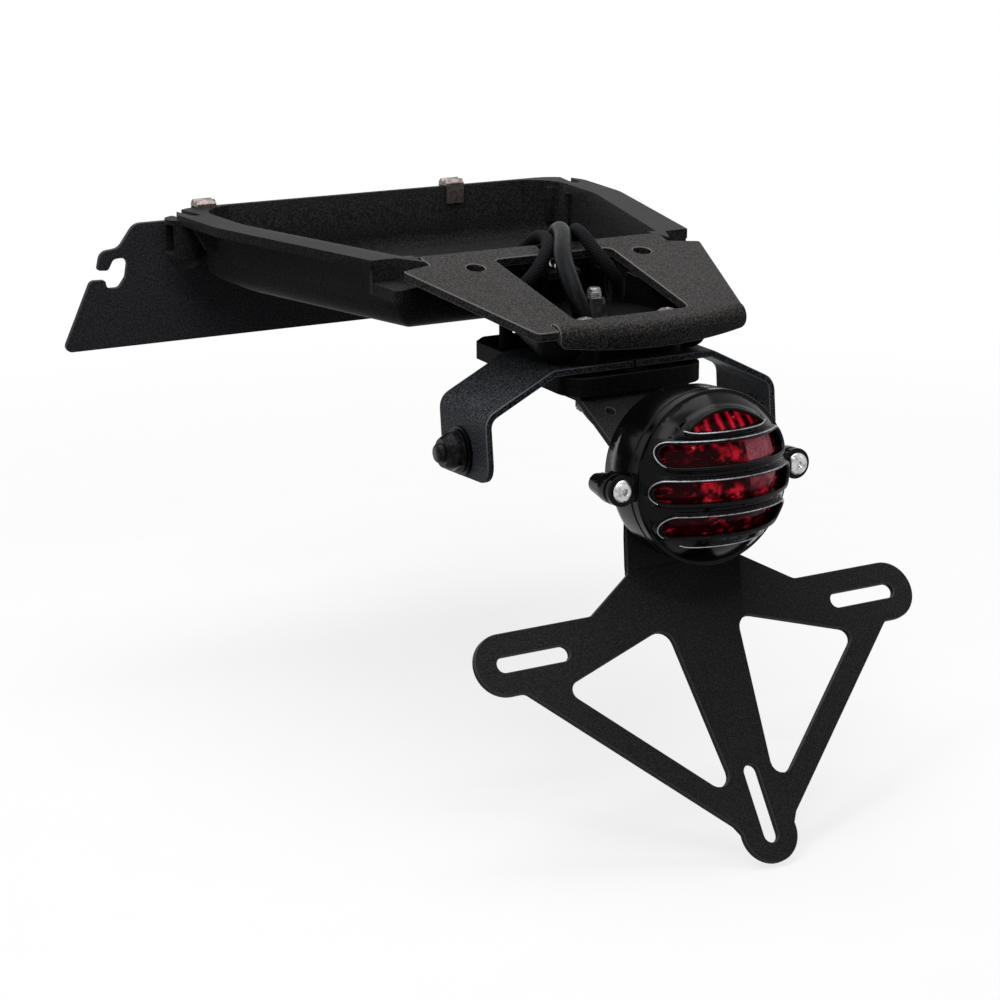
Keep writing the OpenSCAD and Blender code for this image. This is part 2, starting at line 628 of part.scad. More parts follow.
// Path of the hanger's upper and rear face, as [y, z]
flange_top = cover_low - seat_gap;
flange_half = neck_w / 2 + 2;
shoulder_y = -clamp_back - 6.1;
shoulder_end = -101.6;
shoulder_z = flange_top + (shoulder_end - shoulder_y) * tan(shoulder_slope);
neck_foot_y = shoulder_end - neck_len * sin(neck_tilt);
neck_foot_z = shoulder_z - neck_len * cos(neck_tilt);
// Number plate frame: X across, Y down the face from the lower bend, Z to the rear
module plate_frame() translate([0, neck_foot_y, neck_foot_z])
  rotate([90 - plate_tilt, 0, 0]) mirror([0, 1, 0]) children();
module side_slots() for (s = [-1, 1])
  translate([s * (plate_hole_gap / 2 + slot_len / 2), slot_drop]) slot_2d(slot_len, slot_w);
module foot_slot() translate([0, slot_drop + foot_drop - slot_len / 2])
  rotate([0, 0, 90]) slot_2d(slot_len, slot_w);
module plate_outline() {
  slot_end = plate_hole_gap / 2 + slot_len;
  half = bar_w / 2;
  foot_y = slot_drop + foot_drop;
  polygon(rounded([
    [neck_w / 2, -2, 0], [neck_w / 2, 0, 6], [neck_w / 2 + 24.5, slot_drop - half, 5],
    [slot_end, slot_drop - half, 0], [slot_end, slot_drop + half, 0],
    [87.2, slot_drop + half, 4], [14.75, slot_drop + foot_drop - 6.5, 5],
    [11, foot_y, 0], [-11, foot_y, 0],
    [-14.75, slot_drop + foot_drop - 6.5, 5], [-87.2, slot_drop + half, 4],
    [-slot_end, slot_drop + half, 0], [-slot_end, slot_drop - half, 0],
    [-neck_w / 2 - 24.5, slot_drop - half, 5], [-neck_w / 2, 0, 6], [-neck_w / 2, -2, 0]]));
  for (s = [-1, 1]) translate([s * slot_end, slot_drop]) circle(r = half, $fn = fn_big);
  translate([0, foot_y - 1]) circle(r = half - 0.3, $fn = fn_big);
}
module side_window() polygon(rounded([
  [70.9, slot_drop + 14.4, 4], [16.8, slot_drop - 3.1, 6], [9, slot_drop + 74.1, 5]]));
module plate_hanger() {
  color("#302f30") difference() {
    union() {
      rotate([90, 0, 90]) translate([0, 0, -flange_half]) linear_extrude(2 * flange_half)
        polygon(bent_sheet([[-16, flange_top, 0], [shoulder_y, flange_top, -4],
          [shoulder_end, shoulder_z, -4], [neck_foot_y, neck_foot_z, 4],
          [neck_foot_y - 2 * sin(plate_tilt), neck_foot_z - 2 * cos(plate_tilt), 0]], -hanger_t));
      plate_frame() translate([0, 0, -hanger_t]) linear_extrude(hanger_t) plate_outline();
    }
    plate_frame() translate([0, 0, -hanger_t - 1]) linear_extrude(hanger_t + 2) {
      side_slots();
      foot_slot();
      side_window();
      mirror([1, 0]) side_window();
    }
    neck_trim();
    at_clamps() translate([0, 0, -60]) cylinder(d = clamp_d + bolt_gap, h = 60, $fn = fn_small);
    at_centre() translate([0, 0, -60]) cylinder(d = centre_d + bolt_gap, h = 60, $fn = fn_small);
    translate([-lead_x, lead_y, -60]) cylinder(d = cable_hole_d, h = 60, $fn = fn_small);
    for (s = [-1, 1]) translate([s * 17, shoulder_y - 10, -70]) cylinder(d = 4, h = 30, $fn = fn_small);
    at_lamp_bolts() translate([0, 0, -20]) cylinder(d = clamp_d + bolt_gap, h = 30, $fn = fn_small);
    lamp_frame() translate([0, lamp_lead_y, -lamp_depth - 10])
      cylinder(d = lamp_hole_d, h = 20, $fn = fn_small);
  }
}
// Narrows the strip from the flange width to the neck width
module neck_trim() {
  for (s = [0, 1]) mirror([s, 0, 0])
    translate([0, 0, -160]) linear_extrude(200)
      polygon([[neck_w / 2, shoulder_end + 6], [flange_half, shoulder_y - 4],
        [flange_half + 1, shoulder_y - 4], [flange_half + 1, neck_foot_y + 4],
        [neck_w / 2, neck_foot_y + 4]]);
}

// Lamp frame: origin midway between the ear screws, Z out to the rear, Y up
lamp_drop = 1.5;
lamp_y = shoulder_end - lamp_depth - 0.3;
lamp_z = shoulder_z - lamp_drop;
module lamp_frame() translate([0, lamp_y, lamp_z]) rotate([90 - neck_tilt, 0, 0]) children();
lamp_lead_y = -24;
lamp_hole_d = 9.6;
lamp_bolt_x = 14;
lamp_bolt_y = -14;
// Places of the two lamp bolts, on the neck's rear face
module at_lamp_bolts() for (s = [-1, 1])
  lamp_frame() translate([s * lamp_bolt_x, lamp_bolt_y, -lamp_depth]) children();
module lamp_ears(r1, r2, low, high) {
  for (s = [-1, 1]) translate([s * ear_gap / 2, 0, low])
    cylinder(r1 = r1, r2 = r2, h = high - low, $fn = fn_small);
}
// Webs that join the ears to the round body
module ear_webs(half, low, high) {
  translate([-ear_gap / 2, -half, low]) cube([ear_gap, 2 * half, high - low]);
}
ear_t = 4;
// The body is deeper above the hanger's bend, from this height up
hump_y = 8;
hump_t = 4.6;
module lamp_housing() {
  color("#0c0c0d") lamp_frame() difference() {
    union() {
      translate([0, 0, -lamp_depth]) rotate_extrude($fn = 96)
        polygon([[0, 0], [lamp_r - 5, 0], [lamp_r - 2.2, 1], [lamp_r - 0.6, 3.5],
          [lamp_r, 7], [lamp_r, lamp_depth - ear_t], [0, lamp_depth - ear_t]]);
      translate([0, 0, -lamp_depth - hump_t]) intersection() {
        cylinder(r1 = lamp_r - 2, r2 = lamp_r, h = hump_t + 8, $fn = 96);
        union() {
          translate([-lamp_r - 1, hump_y, 0]) cube([2 * lamp_r + 2, lamp_r, hump_t + 8]);
          for (s = [0, 1]) mirror([s, 0, 0])
            translate([neck_w / 2 + 2, -1, 0]) cube([lamp_r, lamp_r, hump_t + 8]);
        }
      }
      lamp_ears(4, ear_r, 2 - lamp_depth, -ear_t - 4);
      lamp_ears(ear_r, ear_r, -ear_t - 4, -ear_t);
      ear_webs(4, 3 - lamp_depth, -ear_t);
    }
    translate([0, 0, -lamp_depth + 3]) cylinder(r = lamp_r - 3, h = lamp_depth, $fn = 96);
    for (s = [-1, 1]) translate([s * ear_gap / 2, 0, -16])
      cylinder(d = ear_screw_d + 0.2, h = lamp_depth, $fn = fn_small);
    for (s = [-1, 1]) translate([s * lamp_bolt_x, lamp_bolt_y, -lamp_depth - 1])
      cylinder(d = clamp_d + bolt_gap, h = 6, $fn = fn_small);
    translate([0, lamp_lead_y, -lamp_depth - 1]) cylinder(d = lamp_hole_d, h = 6, $fn = fn_small);
  }
}
gasket_t = 1.2;
module lamp_gasket() {
  color("#161616") lamp_frame() translate([0, 0, -ear_t]) difference() {
    cylinder(r = lamp_r - 0.4, h = gasket_t, $fn = 96);
    translate([0, 0, -1]) cylinder(r = lamp_r - 5, h = gasket_t + 2, $fn = 96);
  }
}
led_z = -12;
module lamp_board() {
  color("#d8d8d4") lamp_frame() {
    translate([0, 0, led_z]) difference() {
      cylinder(r = lamp_r - 3.4, h = 1.6, $fn = fn_big);
      for (s = [-1, 1]) translate([s * lamp_bolt_x, lamp_bolt_y, -1]) cylinder(r = 5, h = 4, $fn = fn_small);
    }
    for (y = [-18:9:18]) for (x = [-18:9:18])
      if (norm([x, y]) < 24 && norm([abs(x) - lamp_bolt_x, y - lamp_bolt_y]) > 8)
        translate([x, y, led_z + 1.6]) cylinder(d = 5, h = 2.4, $fn = fn_small);
    for (s = [-1, 1]) translate([s * 24, 9, -lamp_depth + 3])
      cylinder(r = 2.5, h = led_z + lamp_depth - 3, $fn = fn_small);
  }
}
// Radius of the sphere whose cap has base radius r and height h
function cap_r(r, h) = (r * r + h * h) / (2 * h);
module cap(r, h) {
  big = cap_r(r, h);
  intersection() {
    translate([0, 0, h - big]) sphere(r = big, $fn = 96);
    cylinder(r = r, h = h + 1, $fn = 96);
  }
}
lens_gap = 0.5;
lens_t = 2.2;
dome_r = lamp_r - 0.6;
lens_r = dome_r - dome_t - lens_gap;
lens_h = dome_h - dome_t - lens_gap;
module lamp_lens() {
  color("#a10f22") lamp_frame() {
    difference() {
      cap(lens_r, lens_h);
      translate([0, 0, -0.01]) cap(lens_r - lens_t, lens_h - lens_t);
      for (x = [-28:4:28]) translate([x, 0, 0]) rotate([90, 0, 0])
        cylinder(r = 1.1, h = 2 * lens_r, center = true, $fn = 16);
    }
    translate([0, 0, -ear_t + gasket_t]) difference() {
      cylinder(r = lens_r, h = ear_t - gasket_t, $fn = 96);
      translate([0, 0, -1]) cylinder(r = lens_r - lens_t, h = ear_t + 2, $fn = 96);
    }
  }
}
// Heights of the three long grille openings; the top one is an eyelid shape
opening_rows = [for (i = [-1:1]) i * rib_pitch - 0.8];
eyelid_y = 21.8;
function opening_half(y) = sqrt(pow(dome_r - 3.8, 2) - y * y) - opening_h / 2;
module openings_2d(grow) {
  for (y = opening_rows) translate([0, y]) slot_2d(2 * opening_half(y), opening_h + 2 * grow);
  intersection() {
    translate([0, grow]) circle(r = dome_r - 6.8, $fn = fn_big);
    translate([-dome_r, eyelid_y - grow]) square([2 * dome_r, dome_r]);
  }
}
module lamp_grille() {
  color("#0b0b0c") lamp_frame() difference() {
    union() {
      difference() {
        union() {
          cap(dome_r, dome_h);
          for (k = [0, 1]) intersection() {
            translate([0, 0, 0.7 + 0.6 * k]) cap(dome_r, dome_h);
            linear_extrude(dome_h + 4) openings_2d(2 - 0.7 * k);
          }
        }
        translate([0, 0, -0.01]) cap(dome_r - dome_t, dome_h - dome_t);
      }
      translate([0, 0, -ear_t + gasket_t]) difference() {
        union() {
          cylinder(r = lamp_r, h = ear_t - gasket_t + 1.4, $fn = 96);
          lamp_ears(ear_r, ear_r, 0, ear_t - gasket_t);
          ear_webs(ear_r - 1.2, 0, ear_t - gasket_t);
        }
        translate([0, 0, -1]) cylinder(r = dome_r - dome_t, h = ear_t + 4, $fn = 96);
      }
    }
    translate([0, 0, 1.5]) linear_extrude(dome_h + 10) openings_2d(0);
    for (s = [-1, 1]) translate([s * ear_gap / 2, 0, -ear_t])
      cylinder(d = ear_screw_d + bolt_gap, h = 10, $fn = fn_small);
  }
}
module lamp_screws() {
  color("#d5d5d2") lamp_frame() for (s = [-1, 1])
    translate([s * ear_gap / 2, 0, 0]) button_screw(ear_screw_d, 14);
}
module lamp_mount_bolts() {
  color("#8f8f8c") at_lamp_bolts() translate([0, 0, 3]) {
    translate([0, 0, -3 - hanger_t - 6]) cylinder(d = clamp_d, h = 3 + hanger_t + 6, $fn = fn_small);
    cylinder(d = 8.5, h = 2.6, $fn = fn_small);
  }
}
module lamp_mount_nuts() {
  color("#8f8f8c") at_lamp_bolts() translate([0, 0, -hanger_t - 0.4]) mirror([0, 0, 1])
    lock_nut(clamp_d, 8, 5);
}

module clamp_bolts() {
  shank = ledge_z - (flange_top - hanger_t) + 6;
  color("#c9c9c7") at_clamps() translate([0, 0, ledge_z]) button_screw(clamp_d, shank);
}
module clamp_nuts() {
  color("#b3aaa6") at_clamps() translate([0, 0, flange_top - hanger_t - 0.05]) mirror([0, 0, 1])
    lock_nut(clamp_d, 8, 5);
}
module centre_bolt() {
  top = housing_floor_z + 13;
  low = flange_top - hanger_t;
  color("#d0d0cd") at_centre() {
    translate([0, 0, low]) cylinder(d = centre_d, h = top - low - 0.8, $fn = fn_small);
    translate([0, 0, top - 0.8]) cylinder(d1 = centre_d, d2 = centre_d - 1.6, h = 0.8, $fn = fn_small);
    translate([0, 0, low - 4]) cylinder(d = 10 / cos(30), h = 4, $fn = 6);
  }
}
module centre_nut() {
  color("#1b1b1c") at_centre() translate([0, 0, housing_floor_z]) {
    difference() {
      cylinder(d = 14, h = 1.4, $fn = fn_small);
      translate([0, 0, -1]) cylinder(d = centre_d + 0.2, h = 4, $fn = fn_small);
    }
    translate([0, 0, 1.4]) lock_nut(centre_d, 10, 7);
  }
}

grommet_t = 3;
module cable_grommets() {
  bore = sleeve_d + 0.4;
  color("#151515") {
    translate([-lead_x, lead_y, housing_floor_z]) difference() {
      cylinder(d = cable_hole_d + 3, h = grommet_t / 2, $fn = fn_small);
      translate([0, 0, -1]) cylinder(d = bore, h = 4, $fn = fn_small);
    }
    lamp_frame() translate([0, lamp_lead_y, -lamp_depth - 0.3 - hanger_t]) difference() {
      union() {
        translate([0, 0, -1.5]) cylinder(d = lamp_hole_d + 3, h = 1.5, $fn = fn_small);
        cylinder(d = lamp_hole_d - 0.2, h = hanger_t, $fn = fn_small);
      }
      translate([0, 0, -2]) cylinder(d = bore, h = 8, $fn = fn_small);
    }
  }
}

// Routes of the three leads, from their lower ends to their plugs in the tray
sleeve_d = 8;
loom_d = 6;
lamp_route = [
  [0, -106, -93.7], [0, -101, -94.1], [0.2, -96, -94.3], [1, -91, -92.6], [2, -87, -88.6],
  [2.6, -84, -83.2], [2.6, -80.6, -77.8], [1.8, -76, -73.2], [0, -70.4, -69.4],
  [-2.8, -64.2, -66], [-6.4, -57.4, -63], [-9.8, -51, -59], [-12.3, -46, -53.8],
  [-13, -43.2, -47.8], [-13, -43, -42], [-13, -43, -35], [-13, -43, -28], [-13, -43, -21.5],
  [-13.3, -42.8, -17.2], [-14, -41.2, -12.4], [-14, -37.8, -8.4], [-13, -33, -5],
  [-11.2, -26.5, -1.6], [-8.4, -18.5, 1.6], [-4.8, -10.5, 4.2], [-0.4, -2.5, 6],
  [4.2, 5.5, 7.4], [8.2, 13, 8.2], [11.4, 20.4, 8.4], [13.8, 27.4, 6.8], [15.4, 34, 2.6],
  [16.6, 40.4, -3.6], [17.4, 47, -10.4], [17.8, 54.2, -16.6], [18, 62, -21], [18, 67.6, -22.3],
  [18, 72.2, -22.3]];
left_route = [
  [-side_x, side_y, cover_low + cover_wall + 0.1], [-side_x, side_y, -37], [-side_x, side_y, -32],
  [-side_x, side_y, -27], [-side_x, side_y, -22], [-27.9, -3, -17.4], [-25.6, -4.6, -13],
  [-22, -5.8, -9], [-17.4, -5.6, -5.2], [-12.6, -3.6, -1.6], [-8.4, -0.4, 1.6], [-4.6, 3.6, 3.8],
  [-1.6, 8.4, 5.2], [1, 13.8, 6], [2.6, 19.6, 6.2], [3.4, 25.4, 5.6], [3.2, 31, 3],
  [1.4, 36.4, -1.6], [-1.8, 41.8, -7], [-6.4, 47.4, -12.4], [-11.6, 52.8, -17],
  [-17, 58, -20.4], [-21.4, 62.6, -22], [-24.2, 67, -22.3], [-25, 70.6, -22.3], [-25, 72.2, -22.3]];
right_route = [
  [side_x, side_y, cover_low + cover_wall + 0.1], [side_x, side_y, -37], [side_x, side_y, -32],
  [side_x, side_y, -27], [side_x, side_y, -22], [28, -3.4, -17.4], [26.4, -5.8, -13],
  [23.4, -7.4, -8.8], [20.4, -6.8, -4.4], [18.2, -3.8, -0.4], [17, 0.8, 3], [17, 6, 5.8],
  [17.6, 11.6, 7.6], [18.8, 17.4, 8.2], [20.6, 23.2, 7.4], [23.2, 28.8, 4.8], [26.4, 34.4, 0.2],
  [30, 40.2, -5.4], [34, 46.6, -11.2], [38, 53.6, -16.6], [41.2, 60.6, -20.6], [43, 67, -22.3],
  [43, 72.2, -22.3]];
module lamp_lead() color("#1d1f22") tube(lamp_route, sleeve_d, 10);
module left_lead() color("#17181a") tube(left_route, loom_d, 8);
module right_lead() color("#17181a") tube(right_route, loom_d, 8);
// Plug with its latch, lying on the tray floor along Y
module plug(at, width) {
  translate([at[0] - width / 2, at[1], rim_z - tray_depth + tray_wall + 0.1]) {
    cube([width, 22, 9]);
    translate([width / 2 - 2.5, 4, 9]) cube([5, 12, 1.6]);
    translate([1, 22, 1]) cube([width - 2, 8, 7]);
  }
}
module lead_plugs() color("#1c1c1d") {
  plug([18, 72.3, 0], 16);
  plug([-25, 72.3, 0], 12);
  plug([43, 72.3, 0], 12);
}

undertray();
front_guard();
rim_clips();
seat_plate();
rear_housing();
tray_screw();
indicator_arm_left();
indicator_arm_right();
clamp_bolts();
clamp_nuts();
centre_bolt();
centre_nut();
cable_cover();
plate_hanger();
indicator_bolts();
indicator_washers();
indicator_nuts();
lamp_housing();
lamp_gasket();
lamp_board();
lamp_lens();
lamp_grille();
lamp_screws();
lamp_mount_bolts();
lamp_mount_nuts();
cable_grommets();
lamp_lead();
left_lead();
right_lead();
lead_plugs();
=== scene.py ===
"""Looks of the tail tidy: finishes, small fittings, leads, studio and camera."""
from __future__ import annotations

import json
import logging
import math
from dataclasses import dataclass
from enum import Enum
from typing import Sequence

import bmesh
import bpy
from mathutils import Matrix, Vector

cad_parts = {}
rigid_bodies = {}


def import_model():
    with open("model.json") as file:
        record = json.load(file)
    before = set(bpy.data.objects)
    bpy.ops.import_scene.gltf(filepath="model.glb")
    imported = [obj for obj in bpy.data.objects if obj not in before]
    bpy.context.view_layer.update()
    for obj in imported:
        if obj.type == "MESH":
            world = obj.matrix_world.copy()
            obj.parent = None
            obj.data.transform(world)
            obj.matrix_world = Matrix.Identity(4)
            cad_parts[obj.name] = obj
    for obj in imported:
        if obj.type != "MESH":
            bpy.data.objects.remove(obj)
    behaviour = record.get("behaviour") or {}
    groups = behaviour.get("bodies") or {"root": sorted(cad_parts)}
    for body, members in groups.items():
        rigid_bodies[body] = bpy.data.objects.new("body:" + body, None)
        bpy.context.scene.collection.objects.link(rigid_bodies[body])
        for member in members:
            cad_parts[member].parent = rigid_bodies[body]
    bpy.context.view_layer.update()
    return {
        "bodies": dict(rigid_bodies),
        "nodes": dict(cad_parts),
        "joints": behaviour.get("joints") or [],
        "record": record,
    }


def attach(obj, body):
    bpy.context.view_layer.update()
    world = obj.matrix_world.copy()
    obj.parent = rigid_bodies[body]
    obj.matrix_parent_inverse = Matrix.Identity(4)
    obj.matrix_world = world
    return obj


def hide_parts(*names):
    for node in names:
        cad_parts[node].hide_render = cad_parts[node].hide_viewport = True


LOG = logging.getLogger("tail_tidy")
Colour = tuple[float, float, float]
Point = tuple[float, float, float]
MM = 0.001
TURN = 2.0 * math.pi
WELD_NODE = 2e-5
WELD_PIECE = 1e-6
FLAT_DEG = 0.6
CORNER_DEG = 40.0
MOULDED_DEG = 38.0
BEAD_SIDES = 10
# Share of the painted edge highlight on the bevel faces of dressed pieces.
EDGE_HIGHLIGHT_SHARE = 0.7


class Socket:
    """A shader value that adds its own Math nodes when Python's operators are used on it."""

    def __init__(self, tree: bpy.types.NodeTree, output: bpy.types.NodeSocket) -> None:
        """Keeps the tree and the output that carries the value."""
        self.tree = tree
        self.output = output

    def math(self, operation: str, *others: "Socket | float", swap: bool = False,
             clamp: bool = False) -> "Socket":
        """Adds one Math node.

        Args:
            operation: The node's operation.
            others: The values beside this one.
            swap: Whether this value comes after the other one.
            clamp: Whether the result is held between 0 and 1.

        Returns:
            The node's result.
        """
        node = self.tree.nodes.new("ShaderNodeMath")
        node.operation = operation
        node.use_clamp = clamp
        parts = (*others, self) if swap else (self, *others)
        for place, part in enumerate(parts):
            plug(self.tree, node.inputs[place], part)
        return Socket(self.tree, node.outputs[0])

    def __add__(self, other: "Socket | float") -> "Socket":
        """Sum."""
        return self.math("ADD", other)

    def __radd__(self, other: float) -> "Socket":
        """Sum, with a number first."""
        return self.math("ADD", other)

    def __sub__(self, other: "Socket | float") -> "Socket":
        """Difference."""
        return self.math("SUBTRACT", other)

    def __rsub__(self, other: float) -> "Socket":
        """Difference, with a number first."""
        return self.math("SUBTRACT", other, swap=True)

    def __mul__(self, other: "Socket | float") -> "Socket":
        """Product."""
        return self.math("MULTIPLY", other)

    def __rmul__(self, other: float) -> "Socket":
        """Product, with a number first."""
        return self.math("MULTIPLY", other)

    def __pow__(self, other: "Socket | float") -> "Socket":
        """Power."""
        return self.math("POWER", other)

    def sine(self) -> "Socket":
        """Sine of the value."""
        return self.math("SINE")

    def wave(self) -> "Socket":
        """A sine wave between 0 and 1."""
        return self.sine() * 0.5 + 0.5

    def held(self) -> "Socket":
        """The value held between 0 and 1."""
        return self.math("ADD", 0.0, clamp=True)

    def between(self, low: float, high: float) -> "Socket":
        """A smooth step from 0 at low to 1 at high.

        Args:
            low: Where the step starts.
            high: Where it ends.

        Returns:
            The stepped value.
        """
        node = self.tree.nodes.new("ShaderNodeMapRange")
        node.interpolation_type = "SMOOTHSTEP"
        for name, part in (("Value", self), ("From Min", low), ("From Max", high)):
            plug(self.tree, node.inputs[name], part)
        return Socket(self.tree, node.outputs[0])


def plug(tree: bpy.types.NodeTree, socket: bpy.types.NodeSocket, part: object) -> None:
    """Links a Socket to an input, or sets the input to a plain value."""
    if isinstance(part, Socket):
        tree.links.new(part.output, socket)
    elif isinstance(part, tuple) and len(part) == 3 and socket.type == "RGBA":
        socket.default_value = (*part, 1.0)
    else:
        socket.default_value = part


class Shader:
    """The node tree of one finish."""

    def __init__(self, name: str) -> None:
        """Starts an empty material of that name."""
        self.material = bpy.data.materials.new(name)
        self.material.use_nodes = True
        self.tree = self.material.node_tree
        self.tree.nodes.clear()

    def node(self, kind: str, settings: dict | None = None, inputs: dict | None = None,
             output: int | str = 0) -> Socket:
        """Adds any node.

        Args:
            kind: The node's type.
            settings: What is set on the node itself, before its sockets.
            inputs: Values or links of its sockets, by name or place.
            output: Which output is given back.

        Returns:
            That output.
        """
        node = self.tree.nodes.new(kind)
        for name, value in (settings or {}).items():
            setattr(node, name, value)
        for name, part in (inputs or {}).items():
            plug(self.tree, node.inputs[name], part)
        return Socket(self.tree, node.outputs[output] if len(node.outputs) else None)

    def place(self) -> Socket:
        """Object coordinates."""
        return self.node("ShaderNodeTexCoord", output="Object")

    def axes(self, vector: Socket) -> tuple[Socket, Socket, Socket]:
        """The three parts of a vector."""
        node = self.tree.nodes.new("ShaderNodeSeparateXYZ")
        plug(self.tree, node.inputs[0], vector)
        return tuple(Socket(self.tree, out) for out in node.outputs)

    def joined(self, x: Socket | float, y: Socket | float, z: Socket | float) -> Socket:
        """A vector from three values."""
        return self.node("ShaderNodeCombineXYZ", inputs={0: x, 1: y, 2: z})

    def noise(self, vector: Socket, scale: float, detail: float = 2.0,
              roughness: float = 0.5) -> Socket:
        """Noise between 0 and 1.

        Args:
            vector: Where it is read.
            scale: Features in a metre.
            detail: Octaves.
            roughness: How strong the fine octaves are.

        Returns:
            The noise.
        """
        return self.node("ShaderNodeTexNoise", inputs={
            "Vector": vector, "Scale": scale, "Detail": detail, "Roughness": roughness})

    def cells(self, vector: Socket, scale: float) -> Socket:
        """Distance in a Voronoi pattern of that many cells in a metre."""
        return self.node("ShaderNodeTexVoronoi", inputs={"Vector": vector, "Scale": scale},
                         output="Distance")

    def blend(self, share: Socket | float, first: Socket | Colour,
              second: Socket | Colour) -> Socket:
        """A colour between two others."""
        return self.node("ShaderNodeMix", {"data_type": "RGBA"},
                         {0: share, 6: first, 7: second}, output=2)

    def edged(self, tone: Socket, edge_highlight: Colour) -> Socket:
        """A tone that turns to a lighter one on the broken edges of a dressed piece: a painted
        edge highlight.
        """
        edge = self.node("ShaderNodeAttribute", {"attribute_name": "edge"}, output="Fac")
        return self.blend((edge * EDGE_HIGHLIGHT_SHARE).held(), tone, edge_highlight)

    def relief(self, height: Socket, depth_mm: float, strength: float = 1.0) -> Socket:
        """A normal bent by a height.

        Args:
            height: The height, from 0 to 1.
            depth_mm: How deep the whole range is.
            strength: How much of it is used.

        Returns:
            The normal.
        """
        return self.node("ShaderNodeBump", inputs={
            "Height": height, "Distance": depth_mm * MM, "Strength": strength})

    def finish(self, **sockets: object) -> bpy.types.Material:
        """Ends the tree in a Principled shader; underscores in names stand for spaces."""
        inputs = {name.replace("_", " "): part for name, part in sockets.items()}
        surface = self.node("ShaderNodeBsdfPrincipled", inputs=inputs)
        self.node("ShaderNodeOutputMaterial", inputs={"Surface": surface})
        return self.material


class Finish:
    """A finish that builds its material once."""

    made: dict[str, bpy.types.Material] = {}

    def material(self) -> bpy.types.Material:
        """The finish's material, made at its first use."""
        key = repr(self)
        if key not in Finish.made:
            Finish.made[key] = self.build()
        return Finish.made[key]

    def build(self) -> bpy.types.Material:
        """Builds the material."""
        raise NotImplementedError


@dataclass(frozen=True)
class TexturedCoat(Finish):
    """Satin coat or sheet with a fine grain, such as powder coat."""

    name: str
    shade: Colour
    speck: Colour
    # Lighter tone of the broken edges: a painted edge highlight.
    edge_highlight: Colour
    roughness: float = 0.46
    grain: float = 1250.0
    depth_mm: float = 0.13
    ior: float = 1.12
    speck_band: tuple[float, float] = (0.46, 0.57)
    drift_scale: float = 14.0

    def build(self) -> bpy.types.Material:
        """Mixes the grain, slow drifts of tone and a painted highlight on the broken edges.

        Returns:
            The material.
        """
        s = Shader(self.name)
        at = s.place()
        grain = s.noise(at, self.grain, 2.0, 0.7)
        drift = s.noise(at, self.drift_scale, 2.0)
        specks = grain.between(*self.speck_band)
        share = (specks * 0.85 + drift * 0.3 - 0.1).held()
        # The broken edges take the painted edge highlight.
        tone = s.edged(s.blend(share, self.shade, self.speck), self.edge_highlight)
        rough = self.roughness + (grain - 0.5) * 0.25
        height = grain * 0.8 + s.cells(at, self.grain * 0.8) * 0.5
        return s.finish(Base_Color=tone, Roughness=rough, IOR=self.ior,
                        Normal=s.relief(height, self.depth_mm))


@dataclass(frozen=True)
class MouldedPlastic(Finish):
    """Black moulding with an eroded grain and slight flow marks."""

    name: str
    shade: Colour
    speck: Colour
    # Lighter tone of the broken edges: a painted edge highlight.
    edge_highlight: Colour = (0.045, 0.044, 0.045)
    roughness: float = 0.5
    grain: float = 800.0
    depth_mm: float = 0.12
    ior: float = 1.1
    flow_scale: float = 40.0
    scuff_scale: float = 60.0

    def build(self) -> bpy.types.Material:
        """Mixes the pebble grain with flow marks and light scuffs.

        Returns:
            The material.
        """
        s = Shader(self.name)
        at = s.place()
        x, y, z = s.axes(at)
        pebbles = s.cells(at, self.grain)
        fine = s.noise(at, self.grain * 1.4, 2.0, 0.6)
        flow = s.noise(s.joined(x * 0.35, y, z * 1.6), self.flow_scale, 3.0, 0.55)
        scuff = s.noise(s.joined(x * 6.0, y * 0.6, z), self.scuff_scale, 3.0, 0.7)
        scuff = scuff.between(0.62, 0.8)
        share = (fine.between(0.45, 0.58) * 0.7 + flow * 0.3).held()
        tone = s.blend(share, self.shade, self.speck)
        rough = self.roughness + (fine - 0.5) * 0.2 + (flow - 0.5) * 0.12 - scuff * 0.06
        height = pebbles * 0.7 + fine * 0.5
        # The broken edges take the painted edge highlight.
        return s.finish(Base_Color=s.edged(tone, self.edge_highlight), Roughness=rough, IOR=self.ior,
                        Normal=s.relief(height, self.depth_mm))


@dataclass(frozen=True)
class GlossBlack(Finish):
    """Polished black shell with orange peel and a little dust."""

    name: str = "gloss_black"
    shade: Colour = (0.0022, 0.0022, 0.0026)
    dust: Colour = (0.03, 0.03, 0.032)
    ior: float = 1.19
    peel_scale: float = 260.0
    dust_scale: float = 2400.0
    wipe_scale: float = 30.0

    def build(self) -> bpy.types.Material:
        """Mixes orange peel, dust and wipe marks into a dark gloss.

        Returns:
            The material.
        """
        s = Shader(self.name)
        at = s.place()
        peel = s.noise(at, self.peel_scale, 2.0, 0.4)
        dust = s.noise(at, self.dust_scale, 2.0, 0.7).between(0.68, 0.8)
        wipe = s.noise(at, self.wipe_scale, 4.0, 0.6)
        tone = s.blend(dust * 0.3, self.shade, self.dust)
        rough = 0.12 + wipe * 0.08 + dust * 0.15
        return s.finish(Base_Color=tone, Roughness=rough, IOR=self.ior,
                        Normal=s.relief(peel, 0.02, 0.6))


